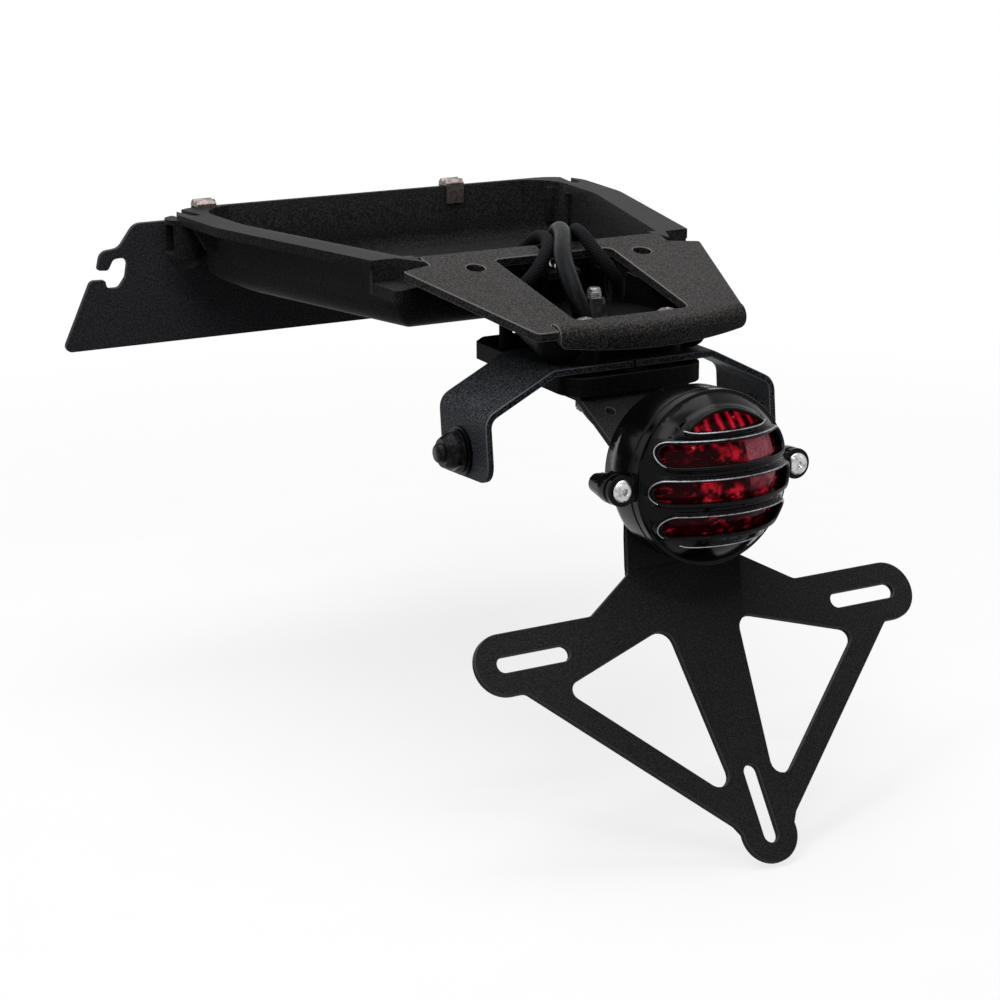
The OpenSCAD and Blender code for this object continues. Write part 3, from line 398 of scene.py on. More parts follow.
@dataclass(frozen=True)
class RedLens(Finish):
    """Clear red lens over a mirrored bowl: dark red, with painted light: lit streaks, hot spots,
    glints, a painted reflection on a prism panel and a painted glow.
    """

    name: str = "red_lens"
    middle_z: float = -0.0684
    rib: float = 0.0053
    prism: tuple[float, float] = (0.006, 0.024)
    black: Colour = (0.0025, 0.0001, 0.0003)
    deep: Colour = (0.03, 0.0006, 0.0018)
    # Painted light: the red of lit streaks and hot spots, and the pale tone of glints.
    lit: Colour = (0.86, 0.014, 0.04)
    painted_glint: Colour = (1.0, 0.5, 0.5)
    # Pale pink of the prism panel's facets: painted reflection.
    prism_reflection: Colour = (0.42, 0.10, 0.13)
    ior: float = 1.12
    # Strength of the lens's own emission: a painted glow.
    painted_glow: float = 0.35

    def build(self) -> bpy.types.Material:
        """Layers painted light over a deep red: upright lit streaks, slanting glints, hot spots
        and a painted reflection on the prism panel.

        Returns:
            The material.
        """
        s = Shader(self.name)
        x, _, z = s.axes(s.place())
        high = z - self.middle_z
        warp = s.noise(s.joined(x, 0.0, high), 90.0, 2.0) * 0.006
        ribs = ((x + warp) * (TURN / self.rib)).wave() ** 3.0
        # Upright lit streaks on the ribs of the upper part: painted light.
        upper = high.between(0.015, 0.021)
        slant = s.joined(x * 0.75 + high * 0.8, 0.0, high * 1.6 - x * 0.7)
        # Slanting glints, gathered in patches below: painted highlights.
        glint_noise = s.noise(slant, 230.0, 3.0, 0.62)
        glint_patch = s.noise(s.joined(x, 0.0, high), 75.0, 2.0).between(0.44, 0.62)
        glow = glint_noise.between(0.53, 0.64) * (glint_patch * 0.9 + 0.1)
        smear = s.noise(s.joined(x, 0.0, high), 210.0, 2.0) * 0.012
        smeared = s.joined(x * 0.8 + smear, 0.0, high * 1.2 - smear)
        # Hot spots: painted light.
        spot = 1.0 - s.cells(smeared, 88.0).between(0.08, 0.36)
        # Share of painted light: hot spots, lit streaks and glints.
        painted_light_share = (spot * 0.9 + ribs * upper * 0.95 + glow * 0.7).held()
        deep = s.blend(s.noise(s.place(), 160.0, 3.0), self.black, self.deep)
        tone = s.blend(painted_light_share, deep, self.lit)
        # Pale glints: painted highlights.
        tone = s.blend((glint_noise.between(0.67, 0.73) * glint_patch).held(), tone, self.painted_glint)
        # A prism panel right of the middle rows; its pale facets are painted reflection.
        start, end = self.prism
        panel = x.between(start, start + MM) * (1.0 - x.between(end, end + MM))
        panel = panel * high.between(-0.004, 0.008) * (1.0 - upper)
        facets = s.cells(s.joined(x * 1.6 + high, 0.0, high - x), 620.0).between(0.15, 0.6)
        tone = s.blend((panel * (facets * 0.5 + 0.35)).held(), tone, self.prism_reflection)
        return s.finish(Base_Color=tone, Roughness=0.13 + (1.0 - glint_patch) * 0.06, IOR=self.ior,
                        # The lens glows with its own tone: painted glow.
                        Emission_Color=tone, Emission_Strength=self.painted_glow,
                        Normal=s.relief(ribs * 0.5 + glint_noise * 0.4, 0.12, 0.35))


class Plating(Enum):
    """Tone and roughness of a metal surface."""

    STAINLESS = ((0.62, 0.6, 0.6), (0.26, 0.25, 0.25), 0.22)
    DULL = ((0.22, 0.215, 0.21), (0.05, 0.049, 0.048), 0.34)
    # Pale metal for the painted highlight lines on the grille's bead crests.
    CREST_HIGHLIGHT = ((0.40, 0.41, 0.43), (0.02, 0.021, 0.023), 0.28)
    ZINC = ((0.21, 0.175, 0.168), (0.06, 0.045, 0.043), 0.38)
    BLACKENED = ((0.005, 0.005, 0.0055), (0.018, 0.018, 0.020), 0.38)
    MIRROR = ((0.86, 0.85, 0.84), (0.62, 0.6, 0.6), 0.12)


@dataclass(frozen=True)
class Metal(Finish):
    """Plated or bare metal with turning marks, tarnish and handling marks."""

    name: str
    plating: Plating
    blotches: float = 420.0

    def build(self) -> bpy.types.Material:
        """Mixes tarnish blotches and fine scratches.

        Returns:
            The material.
        """
        light, dark, base = self.plating.value
        s = Shader(self.name)
        at = s.place()
        x, y, z = s.axes(at)
        blotch = s.noise(at, self.blotches, 4.0, 0.62)
        scratch = s.noise(s.joined(x * 7.0, y * 1.2, z * 1.2), 900.0, 2.0, 0.6)
        tone = s.blend((blotch.between(0.4, 0.7) * 0.8 + scratch * 0.2).held(), light, dark)
        rough = base + (blotch - 0.5) * 0.22 + (scratch - 0.5) * 0.1
        metal = 1.0 - blotch.between(0.62, 0.8) * 0.2
        return s.finish(Base_Color=tone, Roughness=rough, Metallic=metal,
                        Normal=s.relief(scratch, 0.02, 0.5))


@dataclass(frozen=True)
class Rubber(Finish):
    """Matte rubber with a bloom of pale dust."""

    name: str
    shade: Colour
    bloom: Colour
    roughness: float = 0.62
    ior: float = 1.2

    def build(self) -> bpy.types.Material:
        """Mixes the bloom and a faint skin texture.

        Returns:
            The material.
        """
        s = Shader(self.name)
        at = s.place()
        skin = s.noise(at, 700.0, 3.0, 0.6)
        bloom = s.noise(at, 130.0, 4.0, 0.65).between(0.45, 0.75)
        tone = s.blend(bloom * 0.8, self.shade, self.bloom)
        rough = self.roughness + (skin - 0.5) * 0.2
        return s.finish(Base_Color=tone, Roughness=rough, IOR=self.ior,
                        Normal=s.relief(skin, 0.05, 0.7))


@dataclass(frozen=True)
class SleeveRubber(Finish):
    """Smooth sleeve with pale streaks that run along it."""

    name: str = "rubber_sleeve"
    shade: Colour = (0.0018, 0.0022, 0.0028)
    chalk: Colour = (0.021, 0.0255, 0.031)
    ior: float = 1.12

    def build(self) -> bpy.types.Material:
        """Streaks follow the tube by its own map: U round it, V along it.

        Returns:
            The material.
        """
        s = Shader(self.name)
        u, v, _ = s.axes(s.node("ShaderNodeTexCoord", output="UV"))
        streak = s.noise(s.joined(u * 9.0, v * 0.7, 0.0), 2.2, 4.0, 0.62)
        chalk = s.noise(s.joined(u * 3.0, v * 1.1, 0.0), 3.0, 3.0, 0.7).between(0.5, 0.72)
        skin = s.noise(s.place(), 900.0, 2.0, 0.6)
        tone = s.blend((streak.between(0.45, 0.8) * 0.55 + chalk * 0.4).held(),
                       self.shade, self.chalk)
        rough = 0.36 + chalk * 0.22 + (skin - 0.5) * 0.12
        return s.finish(Base_Color=tone, Roughness=rough, IOR=self.ior,
                        Normal=s.relief(streak * 0.5 + skin * 0.5, 0.06, 0.6))


@dataclass(frozen=True)
class BraidedSleeve(Finish):
    """Woven sleeve of flat strands that cross at a slant."""

    name: str = "braided_sleeve"
    strands: int = 12
    pitch: float = 8.0
    gaps: Colour = (0.0006, 0.0006, 0.0008)
    strand: Colour = (0.024, 0.025, 0.028)
    ior: float = 1.08

    def build(self) -> bpy.types.Material:
        """Two sets of strands cross by the tube's own map: U round it, V along it.

        Returns:
            The material.
        """
        s = Shader(self.name)
        u, v, _ = s.axes(s.node("ShaderNodeTexCoord", output="UV"))
        round_it, along = u * (self.strands * TURN), v * (TURN * self.pitch)
        right = (round_it + along).wave()
        left = (round_it - along).wave()
        over = ((right - left) * 4.0 + 0.5).held()
        height = over * right ** 0.6 + (1.0 - over) * left ** 0.6
        fuzz = s.noise(s.place(), 2600.0, 2.0, 0.7)
        tone = s.blend((height * 0.8 + fuzz * 0.3 - 0.2).held(), self.gaps, self.strand)
        return s.finish(Base_Color=tone, Roughness=0.55 + fuzz * 0.2, IOR=self.ior,
                        Normal=s.relief(height + fuzz * 0.2, 0.35, 0.9))


COAT = TexturedCoat("powder_coat", (0.010, 0.0096, 0.0093), (0.084, 0.079, 0.076),
                    (0.30, 0.29, 0.28))
ARM_COAT = TexturedCoat("arm_coat", (0.006, 0.0068, 0.0078), (0.105, 0.114, 0.128),
                        (0.26, 0.275, 0.30))
HANGER_COAT = TexturedCoat("hanger_coat", (0.018, 0.0173, 0.0172), (0.056, 0.0535, 0.053),
                           (0.13, 0.125, 0.122), roughness=0.5, grain=1900.0)
COVER = MouldedPlastic("cover_plastic", (0.002, 0.002, 0.002), (0.013, 0.012, 0.012))
TRAY = MouldedPlastic("tray_plastic", (0.008, 0.0078, 0.0078), (0.044, 0.0424, 0.042),
                      (0.17, 0.162, 0.158))
GUARD = TexturedCoat("guard_sheet", (0.030, 0.030, 0.033), (0.085, 0.085, 0.094),
                     (0.12, 0.12, 0.125), roughness=0.5)
PLUG = MouldedPlastic("plug_plastic", (0.004, 0.004, 0.004), (0.02, 0.02, 0.02))
GLOSS = GlossBlack()
LENS = RedLens()
STAINLESS = Metal("stainless", Plating.STAINLESS)
DULL = Metal("dull_steel", Plating.DULL)
CREST_HIGHLIGHT = Metal("painted_crest_highlight", Plating.CREST_HIGHLIGHT, blotches=90.0)
ZINC = Metal("zinc", Plating.ZINC)
BLACK_STEEL = Metal("black_steel", Plating.BLACKENED)
MIRROR = Metal("reflector", Plating.MIRROR)
RUBBER = Rubber("rubber", (0.010, 0.010, 0.0105), (0.035, 0.035, 0.036))
SLEEVE = SleeveRubber()
BRAID = BraidedSleeve()


def shown(name: str, data: bpy.types.ID) -> bpy.types.Object:
    """A new object of that data, in the scene."""
    thing = bpy.data.objects.new(name, data)
    bpy.context.scene.collection.objects.link(thing)
    return thing


def written(work: bmesh.types.BMesh, mesh: bpy.types.Mesh, sharp_deg: float = 0.0) -> None:
    """Writes the work into a mesh and frees it.

    Args:
        work: The faces.
        mesh: The mesh that takes them.
        sharp_deg: The angle from which an edge is sharp on a smooth mesh, or 0 for a flat one.
    """
    work.to_mesh(mesh)
    work.free()
    if sharp_deg:
        mesh.shade_smooth()
        mesh.set_sharp_from_angle(angle=math.radians(sharp_deg))


def piece(name: str, mesh: bpy.types.Mesh, finish: Finish, slot: str) -> bpy.types.Object:
    """Puts a mesh in the scene as a piece that rides on the one body.

    Args:
        name: The piece's name.
        mesh: Its mesh, in place.
        finish: Its finish.
        slot: The record's material slot.

    Returns:
        The piece.
    """
    thing = shown(name, mesh)
    mesh.materials.clear()
    mesh.materials.append(finish.material())
    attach(thing, "root")
    LOG.info("%s: %d faces, %s", name, len(mesh.polygons), slot)
    return thing


def settled(thing: bpy.types.Object) -> None:
    """Turns a piece and its modifiers into one plain mesh."""
    graph = bpy.context.evaluated_depsgraph_get()
    graph.update()
    mesh = bpy.data.meshes.new_from_object(thing.evaluated_get(graph))
    thing.modifiers.clear()
    thing.data = mesh


@dataclass(frozen=True)
class Dressed:
    """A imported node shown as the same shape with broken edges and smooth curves."""

    node: str
    finish: Finish
    slot: str
    edge_mm: float = 0.35
    angle: float = 32.0
    crisp: bool = True

    def build(self, frame: dict) -> None:
        """Copies the node, merges its triangles and breaks its edges.

        Args:
            frame: The loaded frame.
        """
        mesh = frame["nodes"][self.node].data.copy()
        mesh.name = self.node + "_dressed"
        work = bmesh.new()
        work.from_mesh(mesh)
        bmesh.ops.remove_doubles(work, verts=work.verts, dist=WELD_NODE)
        if self.edge_mm:
            bmesh.ops.dissolve_limit(work, angle_limit=math.radians(FLAT_DEG), verts=work.verts,
                                     edges=work.edges)
        written(work, mesh, self.angle)
        thing = piece(self.node + "_dressed", mesh, self.finish, self.slot)
        if self.edge_mm:
            bevel = thing.modifiers.new("broken_edges", "BEVEL")
            bevel.width = self.edge_mm * MM
            bevel.segments = 2
            bevel.limit_method = "ANGLE"
            bevel.angle_limit = math.radians(CORNER_DEG)
            bevel.use_clamp_overlap = not self.crisp
            bevel.harden_normals = self.crisp
            thing.data.materials.append(self.finish.material())
            bevel.material = 1
            settled(thing)
            # The bevel faces are marked for the painted edge highlight.
            marked = thing.data.attributes.new("edge", "FLOAT", "CORNER")
            for face in thing.data.polygons:
                for corner in face.loop_indices:
                    marked.data[corner].value = float(face.material_index)
                face.material_index = 0
            thing.data.materials.pop(index=1)
        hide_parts(self.node)


@dataclass(frozen=True)
class Fitting(Dressed):
    """A small turned or moulded node, whose edges stay as packed unless it gives a size."""

    edge_mm: float = 0.0
    angle: float = 35.0


class Maker:
    """Geometry Nodes trees that sweep and repeat small shapes."""

    sharp_deg = 50.0

    def __init__(self, name: str, sizes: dict[str, float]) -> None:
        """Starts a tree with a geometry input and named sizes.

        Args:
            name: The tree's name.
            sizes: Its named inputs and their values.
        """
        self.tree = bpy.data.node_groups.new(name, "GeometryNodeTree")
        face = self.tree.interface
        face.new_socket("Geometry", in_out="INPUT", socket_type="NodeSocketGeometry")
        self.sizes = sizes
        self.keys: dict[str, str] = {}
        for size in sizes:
            made = face.new_socket(size, in_out="INPUT", socket_type="NodeSocketFloat")
            self.keys[size] = made.identifier
        face.new_socket("Geometry", in_out="OUTPUT", socket_type="NodeSocketGeometry")
        self.source = self.tree.nodes.new("NodeGroupInput")
        self.sink = self.tree.nodes.new("NodeGroupOutput")

    def node(self, kind: str, inputs: dict, settings: dict | None = None) -> bpy.types.Node:
        """Adds a node and sets or links its inputs.

        Args:
            kind: The node's type.
            inputs: Values or outputs, by input name.
            settings: What is set on the node first.

        Returns:
            The node.
        """
        node = self.tree.nodes.new(kind)
        for name, value in (settings or {}).items():
            setattr(node, name, value)
        for name, part in inputs.items():
            if isinstance(part, bpy.types.NodeSocket):
                self.tree.links.new(part, node.inputs[name])
            else:
                node.inputs[name].default_value = part
        return node

    def close(self, last: bpy.types.NodeSocket, finish: Finish) -> None:
        """Ends the tree in Realize Instances and Set Material."""
        real = self.node("GeometryNodeRealizeInstances", {"Geometry": last})
        dressed = self.node("GeometryNodeSetMaterial", {
            "Geometry": real.outputs[0], "Material": finish.material()})
        self.tree.links.new(dressed.outputs[0], self.sink.inputs[0])

    def run(self, thing: bpy.types.Object, name: str, finish: Finish,
            slot: str) -> bpy.types.Object:
        """Runs the tree on an object and keeps the result as a plain piece.

        Args:
            thing: The object that the tree reads, which is removed.
            name: The piece's name.
            finish: Its finish.
            slot: The record's material slot.

        Returns:
            The piece.
        """
        modifier = thing.modifiers.new("make", "NODES")
        modifier.node_group = self.tree
        for size, key in self.keys.items():
            modifier[key] = float(self.sizes[size])
        graph = bpy.context.evaluated_depsgraph_get()
        graph.update()
        mesh = bpy.data.meshes.new_from_object(thing.evaluated_get(graph))
        bpy.data.objects.remove(thing)
        work = bmesh.new()
        work.from_mesh(mesh)
        bmesh.ops.remove_doubles(work, verts=work.verts, dist=WELD_PIECE)
        bmesh.ops.recalc_face_normals(work, faces=work.faces)
        written(work, mesh, self.sharp_deg)
        return piece(name, mesh, finish, slot)


def lines_object(name: str, lines: Sequence[Sequence[Vector]],
                 closed: bool) -> bpy.types.Object:
    """A curve object of straight splines.

    Args:
        name: Its name.
        lines: The points of each spline.
        closed: Whether each spline closes on itself.

    Returns:
        The object.
    """
    curve = bpy.data.curves.new(name, "CURVE")
    curve.dimensions = "3D"
    for points in lines:
        spline = curve.splines.new("POLY")
        spline.points.add(len(points) - 1)
        for slot, point in zip(spline.points, points):
            slot.co = (*point, 1.0)
        spline.use_cyclic_u = closed
    return shown(name, curve)


def swept(name: str, lines: Sequence[Sequence[Vector]], radius_mm: float, finish: Finish,
          slot: str, closed: bool = True) -> None:
    """A round bead swept along lines by Geometry Nodes.

    Args:
        name: The piece's name.
        lines: The points of each line, in metres.
        radius_mm: The bead's radius.
        finish: Its finish.
        slot: The record's material slot.
        closed: Whether each line closes on itself.
    """
    maker = Maker(name + "_sweep", {"Radius": radius_mm * MM})
    ring = maker.node("GeometryNodeCurvePrimitiveCircle", {
        "Resolution": BEAD_SIDES, "Radius": maker.source.outputs["Radius"]})
    tube = maker.node("GeometryNodeCurveToMesh", {
        "Curve": maker.source.outputs["Geometry"], "Profile Curve": ring.outputs["Curve"],
        "Fill Caps": True})
    maker.close(tube.outputs["Mesh"], finish)
    maker.run(lines_object(name + "_lines", lines, closed), name, finish, slot)


@dataclass(frozen=True)
class Thread:
    """Ridges of a screw thread round a shank."""

    name: str
    start: Point
    axis: Point
    radius_mm: float
    length_mm: float
    pitch_mm: float = 0.8
    ridge_mm: float = 0.30
    sides: int = 28

    def build(self, finish: Finish, slot: str) -> None:
        """Repeats one ridge along the shank by Geometry Nodes.

        Args:
            finish: The thread's finish.
            slot: The record's material slot.
        """
        count = int(self.length_mm / self.pitch_mm)
        maker = Maker(self.name + "_ridges", {
            "Ring radius": self.radius_mm * MM, "Ridge": self.ridge_mm * MM,
            "Pitch": self.pitch_mm * MM})
        out = maker.source.outputs
        ring = maker.node("GeometryNodeCurvePrimitiveCircle", {
            "Resolution": self.sides, "Radius": out["Ring radius"]})
        section = maker.node("GeometryNodeCurvePrimitiveCircle", {
            "Resolution": 4, "Radius": out["Ridge"]})
        ridge = maker.node("GeometryNodeCurveToMesh", {
            "Curve": ring.outputs["Curve"], "Profile Curve": section.outputs["Curve"]})
        step = maker.node("ShaderNodeCombineXYZ", {"Z": out["Pitch"]})
        row = maker.node("GeometryNodeMeshLine", {
            "Count": count, "Offset": step.outputs[0]}, {"mode": "OFFSET"})
        many = maker.node("GeometryNodeInstanceOnPoints", {
            "Points": row.outputs["Mesh"], "Instance": ridge.outputs["Mesh"]})
        maker.close(many.outputs["Instances"], finish)
        row_name = self.name + "_row"
        holder = shown(row_name, bpy.data.meshes.new(row_name))
        thing = maker.run(holder, self.name, finish, slot)
        turn = Vector((0, 0, 1)).rotation_difference(Vector(self.axis)).to_matrix().to_4x4()
        thing.data.transform(Matrix.Translation(Vector(self.start) * MM) @ turn)


@dataclass
class TrayShell:
    """The undertray, the guard before it, its rim clips and its one screw."""

    tray_edge: float = 0.4
    guard_edge: float = 0.25
    clip_edge: float = 0.15

    def build(self, frame: dict) -> None:
        """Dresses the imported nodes."""
        Dressed("undertray", TRAY, "tray_plastic", self.tray_edge, MOULDED_DEG,
                crisp=False).build(frame)
        Dressed("front_guard", GUARD, "guard_sheet", self.guard_edge).build(frame)
        Dressed("rim_clips", ZINC, "zinc", self.clip_edge).build(frame)
        Fitting("tray_screw", STAINLESS, "stainless").build(frame)


@dataclass
class SeatStack:
    """The seat plate and what is clamped under it."""

    thread_at: Point = (0.0, -29.6, -11.9)
    thread_r: float = 3.0
    thread_l: float = 3.8
    plate_edge: float = 0.45
    housing_edge: float = 0.4
    cover_edge: float = 0.35

    def build(self, frame: dict) -> None:
        """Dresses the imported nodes.

        Args:
            frame: The loaded frame.
        """
        Dressed("seat_plate", COAT, "powder_coat", self.plate_edge).build(frame)
        Dressed("rear_housing", COVER, "tray_plastic", self.housing_edge,
                MOULDED_DEG).build(frame)
        Dressed("cable_cover", COVER, "cover_plastic", self.cover_edge,
                MOULDED_DEG).build(frame)
        Fitting("clamp_bolts", DULL, "stainless").build(frame)
        Fitting("clamp_nuts", ZINC, "zinc").build(frame)
        Fitting("centre_bolt", DULL, "stainless").build(frame)
        Thread("centre_thread", self.thread_at, (0.0, 0.0, 1.0), self.thread_r,
               self.thread_l).build(DULL, "stainless")
        Fitting("centre_nut", BLACK_STEEL, "black_steel").build(frame)
        Fitting("cable_grommets", RUBBER, "rubber").build(frame)


@dataclass
class IndicatorArms:
    """The two bent arms with their bolts, washers and nuts."""

    arm_edge: float = 0.45
    washer_edge: float = 0.2
    nut_edge: float = 0.25

    def build(self, frame: dict) -> None:
        """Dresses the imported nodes."""
        for side in ("left", "right"):
            Dressed("indicator_arm_" + side, ARM_COAT, "powder_coat", self.arm_edge).build(frame)
        Fitting("indicator_bolts", BLACK_STEEL, "black_steel").build(frame)
        Fitting("indicator_washers", BLACK_STEEL, "black_steel", self.washer_edge).build(frame)
        Fitting("indicator_nuts", BLACK_STEEL, "black_steel", self.nut_edge).build(frame)


@dataclass
class PlateHanger:
    """The folded sheet that carries the number plate."""

    edge: float = 0.4

    def build(self, frame: dict) -> None:
        """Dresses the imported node."""
        Dressed("plate_hanger", HANGER_COAT, "powder_coat", self.edge).build(frame)


@dataclass
class TailLamp:
    """The round lamp: shell, lens, grille with its beads, painted highlight lines on the bead
    crests, and its screws.
    """

    origin: Point = (0.0, -124.3, -68.39)
    tilt: float = 85.6
    dome_r: float = 35.4
    dome_h: float = 22.0
    housing_edge: float = 0.5
    grille_edge: float = 0.3
    rows: tuple[float, ...] = (-15.0, -0.8, 13.4)
    opening_h: float = 8.6
    bead_r: float = 0.85
    eyelid: tuple[float, float, float] = (21.8, 28.4, 18.0)
    end_inset: float = 3.8
    bead_out: float = 0.7
    bead_lift: float = 0.9
    lid_drop: float = 0.8
    lid_tuck: float = 0.6
    lid_round: float = 0.8
    # Size and lift of the painted highlight lines on the beads.
    crest_r: float = 0.31
    crest_lift: float = 1.48
    crest_past: float = 0.5
    brow_rise: float = 1.1
    chin_y: float = -25.0
    chin_half: float = 20.0
    chin_lift: float = 0.1
    end_steps: int = 12
    side_steps: int = 14
    lid_steps: int = 16

    def placed(self, x: float, y: float, lift: float) -> Vector:
        """A point on the dome, raised by lift, in metres in the row frame.

        Args:
            x: To the right, in millimetres.
            y: Up the lamp's face, in millimetres.
            lift: Height above the dome, square to it, in millimetres.

        Returns:
            The point.
        """
        ball = (self.dome_r ** 2 + self.dome_h ** 2) / (2.0 * self.dome_h)
        out = Vector((x, y, math.sqrt(max(ball * ball - x * x - y * y, 1.0))))
        spot = out * ((ball + lift) / ball) + Vector((0.0, 0.0, self.dome_h - ball))
        turned = Matrix.Rotation(math.radians(self.tilt), 4, "X") @ spot
        return (turned + Vector(self.origin)) * MM

    def ends(self, y: float) -> tuple[float, float]:
        """The radius of a bead's ends, and half the length between their middles."""
        radius = self.opening_h / 2.0 + self.bead_r * self.bead_out
        half = math.sqrt((self.dome_r - self.end_inset) ** 2 - y * y) - self.opening_h / 2.0
        return radius, half

    def opening(self, y: float) -> list[Vector]:
        """The outline of one long opening, on the dome.

        Args:
            y: The height of its middle on the lamp's face, in millimetres.

        Returns:
            Its points in metres.
        """
        r, half = self.ends(y)
        outline: list[tuple[float, float]] = []
        for side, start in ((1.0, -90.0), (-1.0, 90.0)):
            for step in range(self.end_steps + 1):
                a = math.radians(start + 180.0 / self.end_steps * step)
                outline.append((side * half + r * math.cos(a), y + r * math.sin(a)))
            for step in range(1, self.side_steps):
                along = half - 2.0 * half * step / self.side_steps
                outline.append((side * along, y + side * r))
        return [self.placed(px, py, self.bead_lift) for px, py in outline]

    def lid(self) -> list[Vector]:
        """The outline of the eyelid opening at the top.

        Returns:
            Its points in metres.
        """
        low, high, half = self.eyelid
        shares = [k / self.lid_steps for k in range(self.lid_steps + 1)]
        rise = high - low + self.lid_drop
        outline = [(half - 2.0 * half * t, low - self.lid_drop) for t in shares]
        outline += [(-half + 2.0 * half * t,
                     low - self.lid_tuck + rise * math.sin(math.pi * t) ** self.lid_round)
                    for t in shares[1:-1]]
        return [self.placed(px, py, self.bead_lift) for px, py in outline]

    def crest(self, y: float) -> list[Vector]:
        """A painted highlight line along the upper crest of the bead over an opening, from its
        left end round and across.

        Args:
            y: The height of the opening's middle, in millimetres.

        Returns:
            Its points in metres.
        """
        r, half = self.ends(y)
        line = [(-half + r * math.cos(math.radians(a)), y + r * math.sin(math.radians(a)))
                for a in range(240, 90, -10)]
        line += [(half * k / 10.0, y + r) for k in range(-10, 11)]
        line += [(half + r * math.cos(math.radians(a)), y + r * math.sin(math.radians(a)))
                 for a in range(80, 20, -10)]
        return [self.placed(px, py, self.crest_lift) for px, py in line]

    def brow(self, y: float, half: float, lift: float) -> list[Vector]:
        """A painted highlight line straight across the dome whose ends turn up a little."""
        shares = [k / 12.0 for k in range(-12, 13)]
        return [self.placed(half * t, y + self.brow_rise * abs(t) ** 9, lift) for t in shares]

    def build(self, frame: dict) -> None:
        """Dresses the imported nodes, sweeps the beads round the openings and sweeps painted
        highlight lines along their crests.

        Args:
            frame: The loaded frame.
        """
        Dressed("lamp_housing", GLOSS, "lamp_gloss", self.housing_edge, MOULDED_DEG).build(frame)
        Dressed("lamp_grille", GLOSS, "lamp_gloss", self.grille_edge, 40.0).build(frame)
        Fitting("lamp_gasket", RUBBER, "rubber", angle=MOULDED_DEG).build(frame)
        Fitting("lamp_board", MIRROR, "reflector").build(frame)
        Fitting("lamp_lens", LENS, "red_lens", angle=50.0).build(frame)
        Fitting("lamp_screws", STAINLESS, "stainless").build(frame)
        Fitting("lamp_mount_bolts", ZINC, "zinc").build(frame)
        Fitting("lamp_mount_nuts", ZINC, "zinc").build(frame)
        outlines = [self.opening(y) for y in self.rows] + [self.lid()]
        swept("grille_beads", outlines, self.bead_r, GLOSS, "lamp_gloss")
        # Pale lines along the upper crests of the beads, the brow and the chin: painted
        # highlights.
        low, _, half = self.eyelid
        crests = [self.crest(y) for y in self.rows]
        crests += [self.brow(low - self.lid_drop, half + self.crest_past, self.crest_lift),
                   self.brow(self.chin_y, self.chin_half, self.chin_lift)]
        swept("grille_crest_highlights", crests, self.crest_r, CREST_HIGHLIGHT, "lamp_gloss", closed=False)


class Side(Enum):
    """Which lead."""

    LAMP = "lamp_lead"
    LEFT = "left_lead"
    RIGHT = "right_lead"


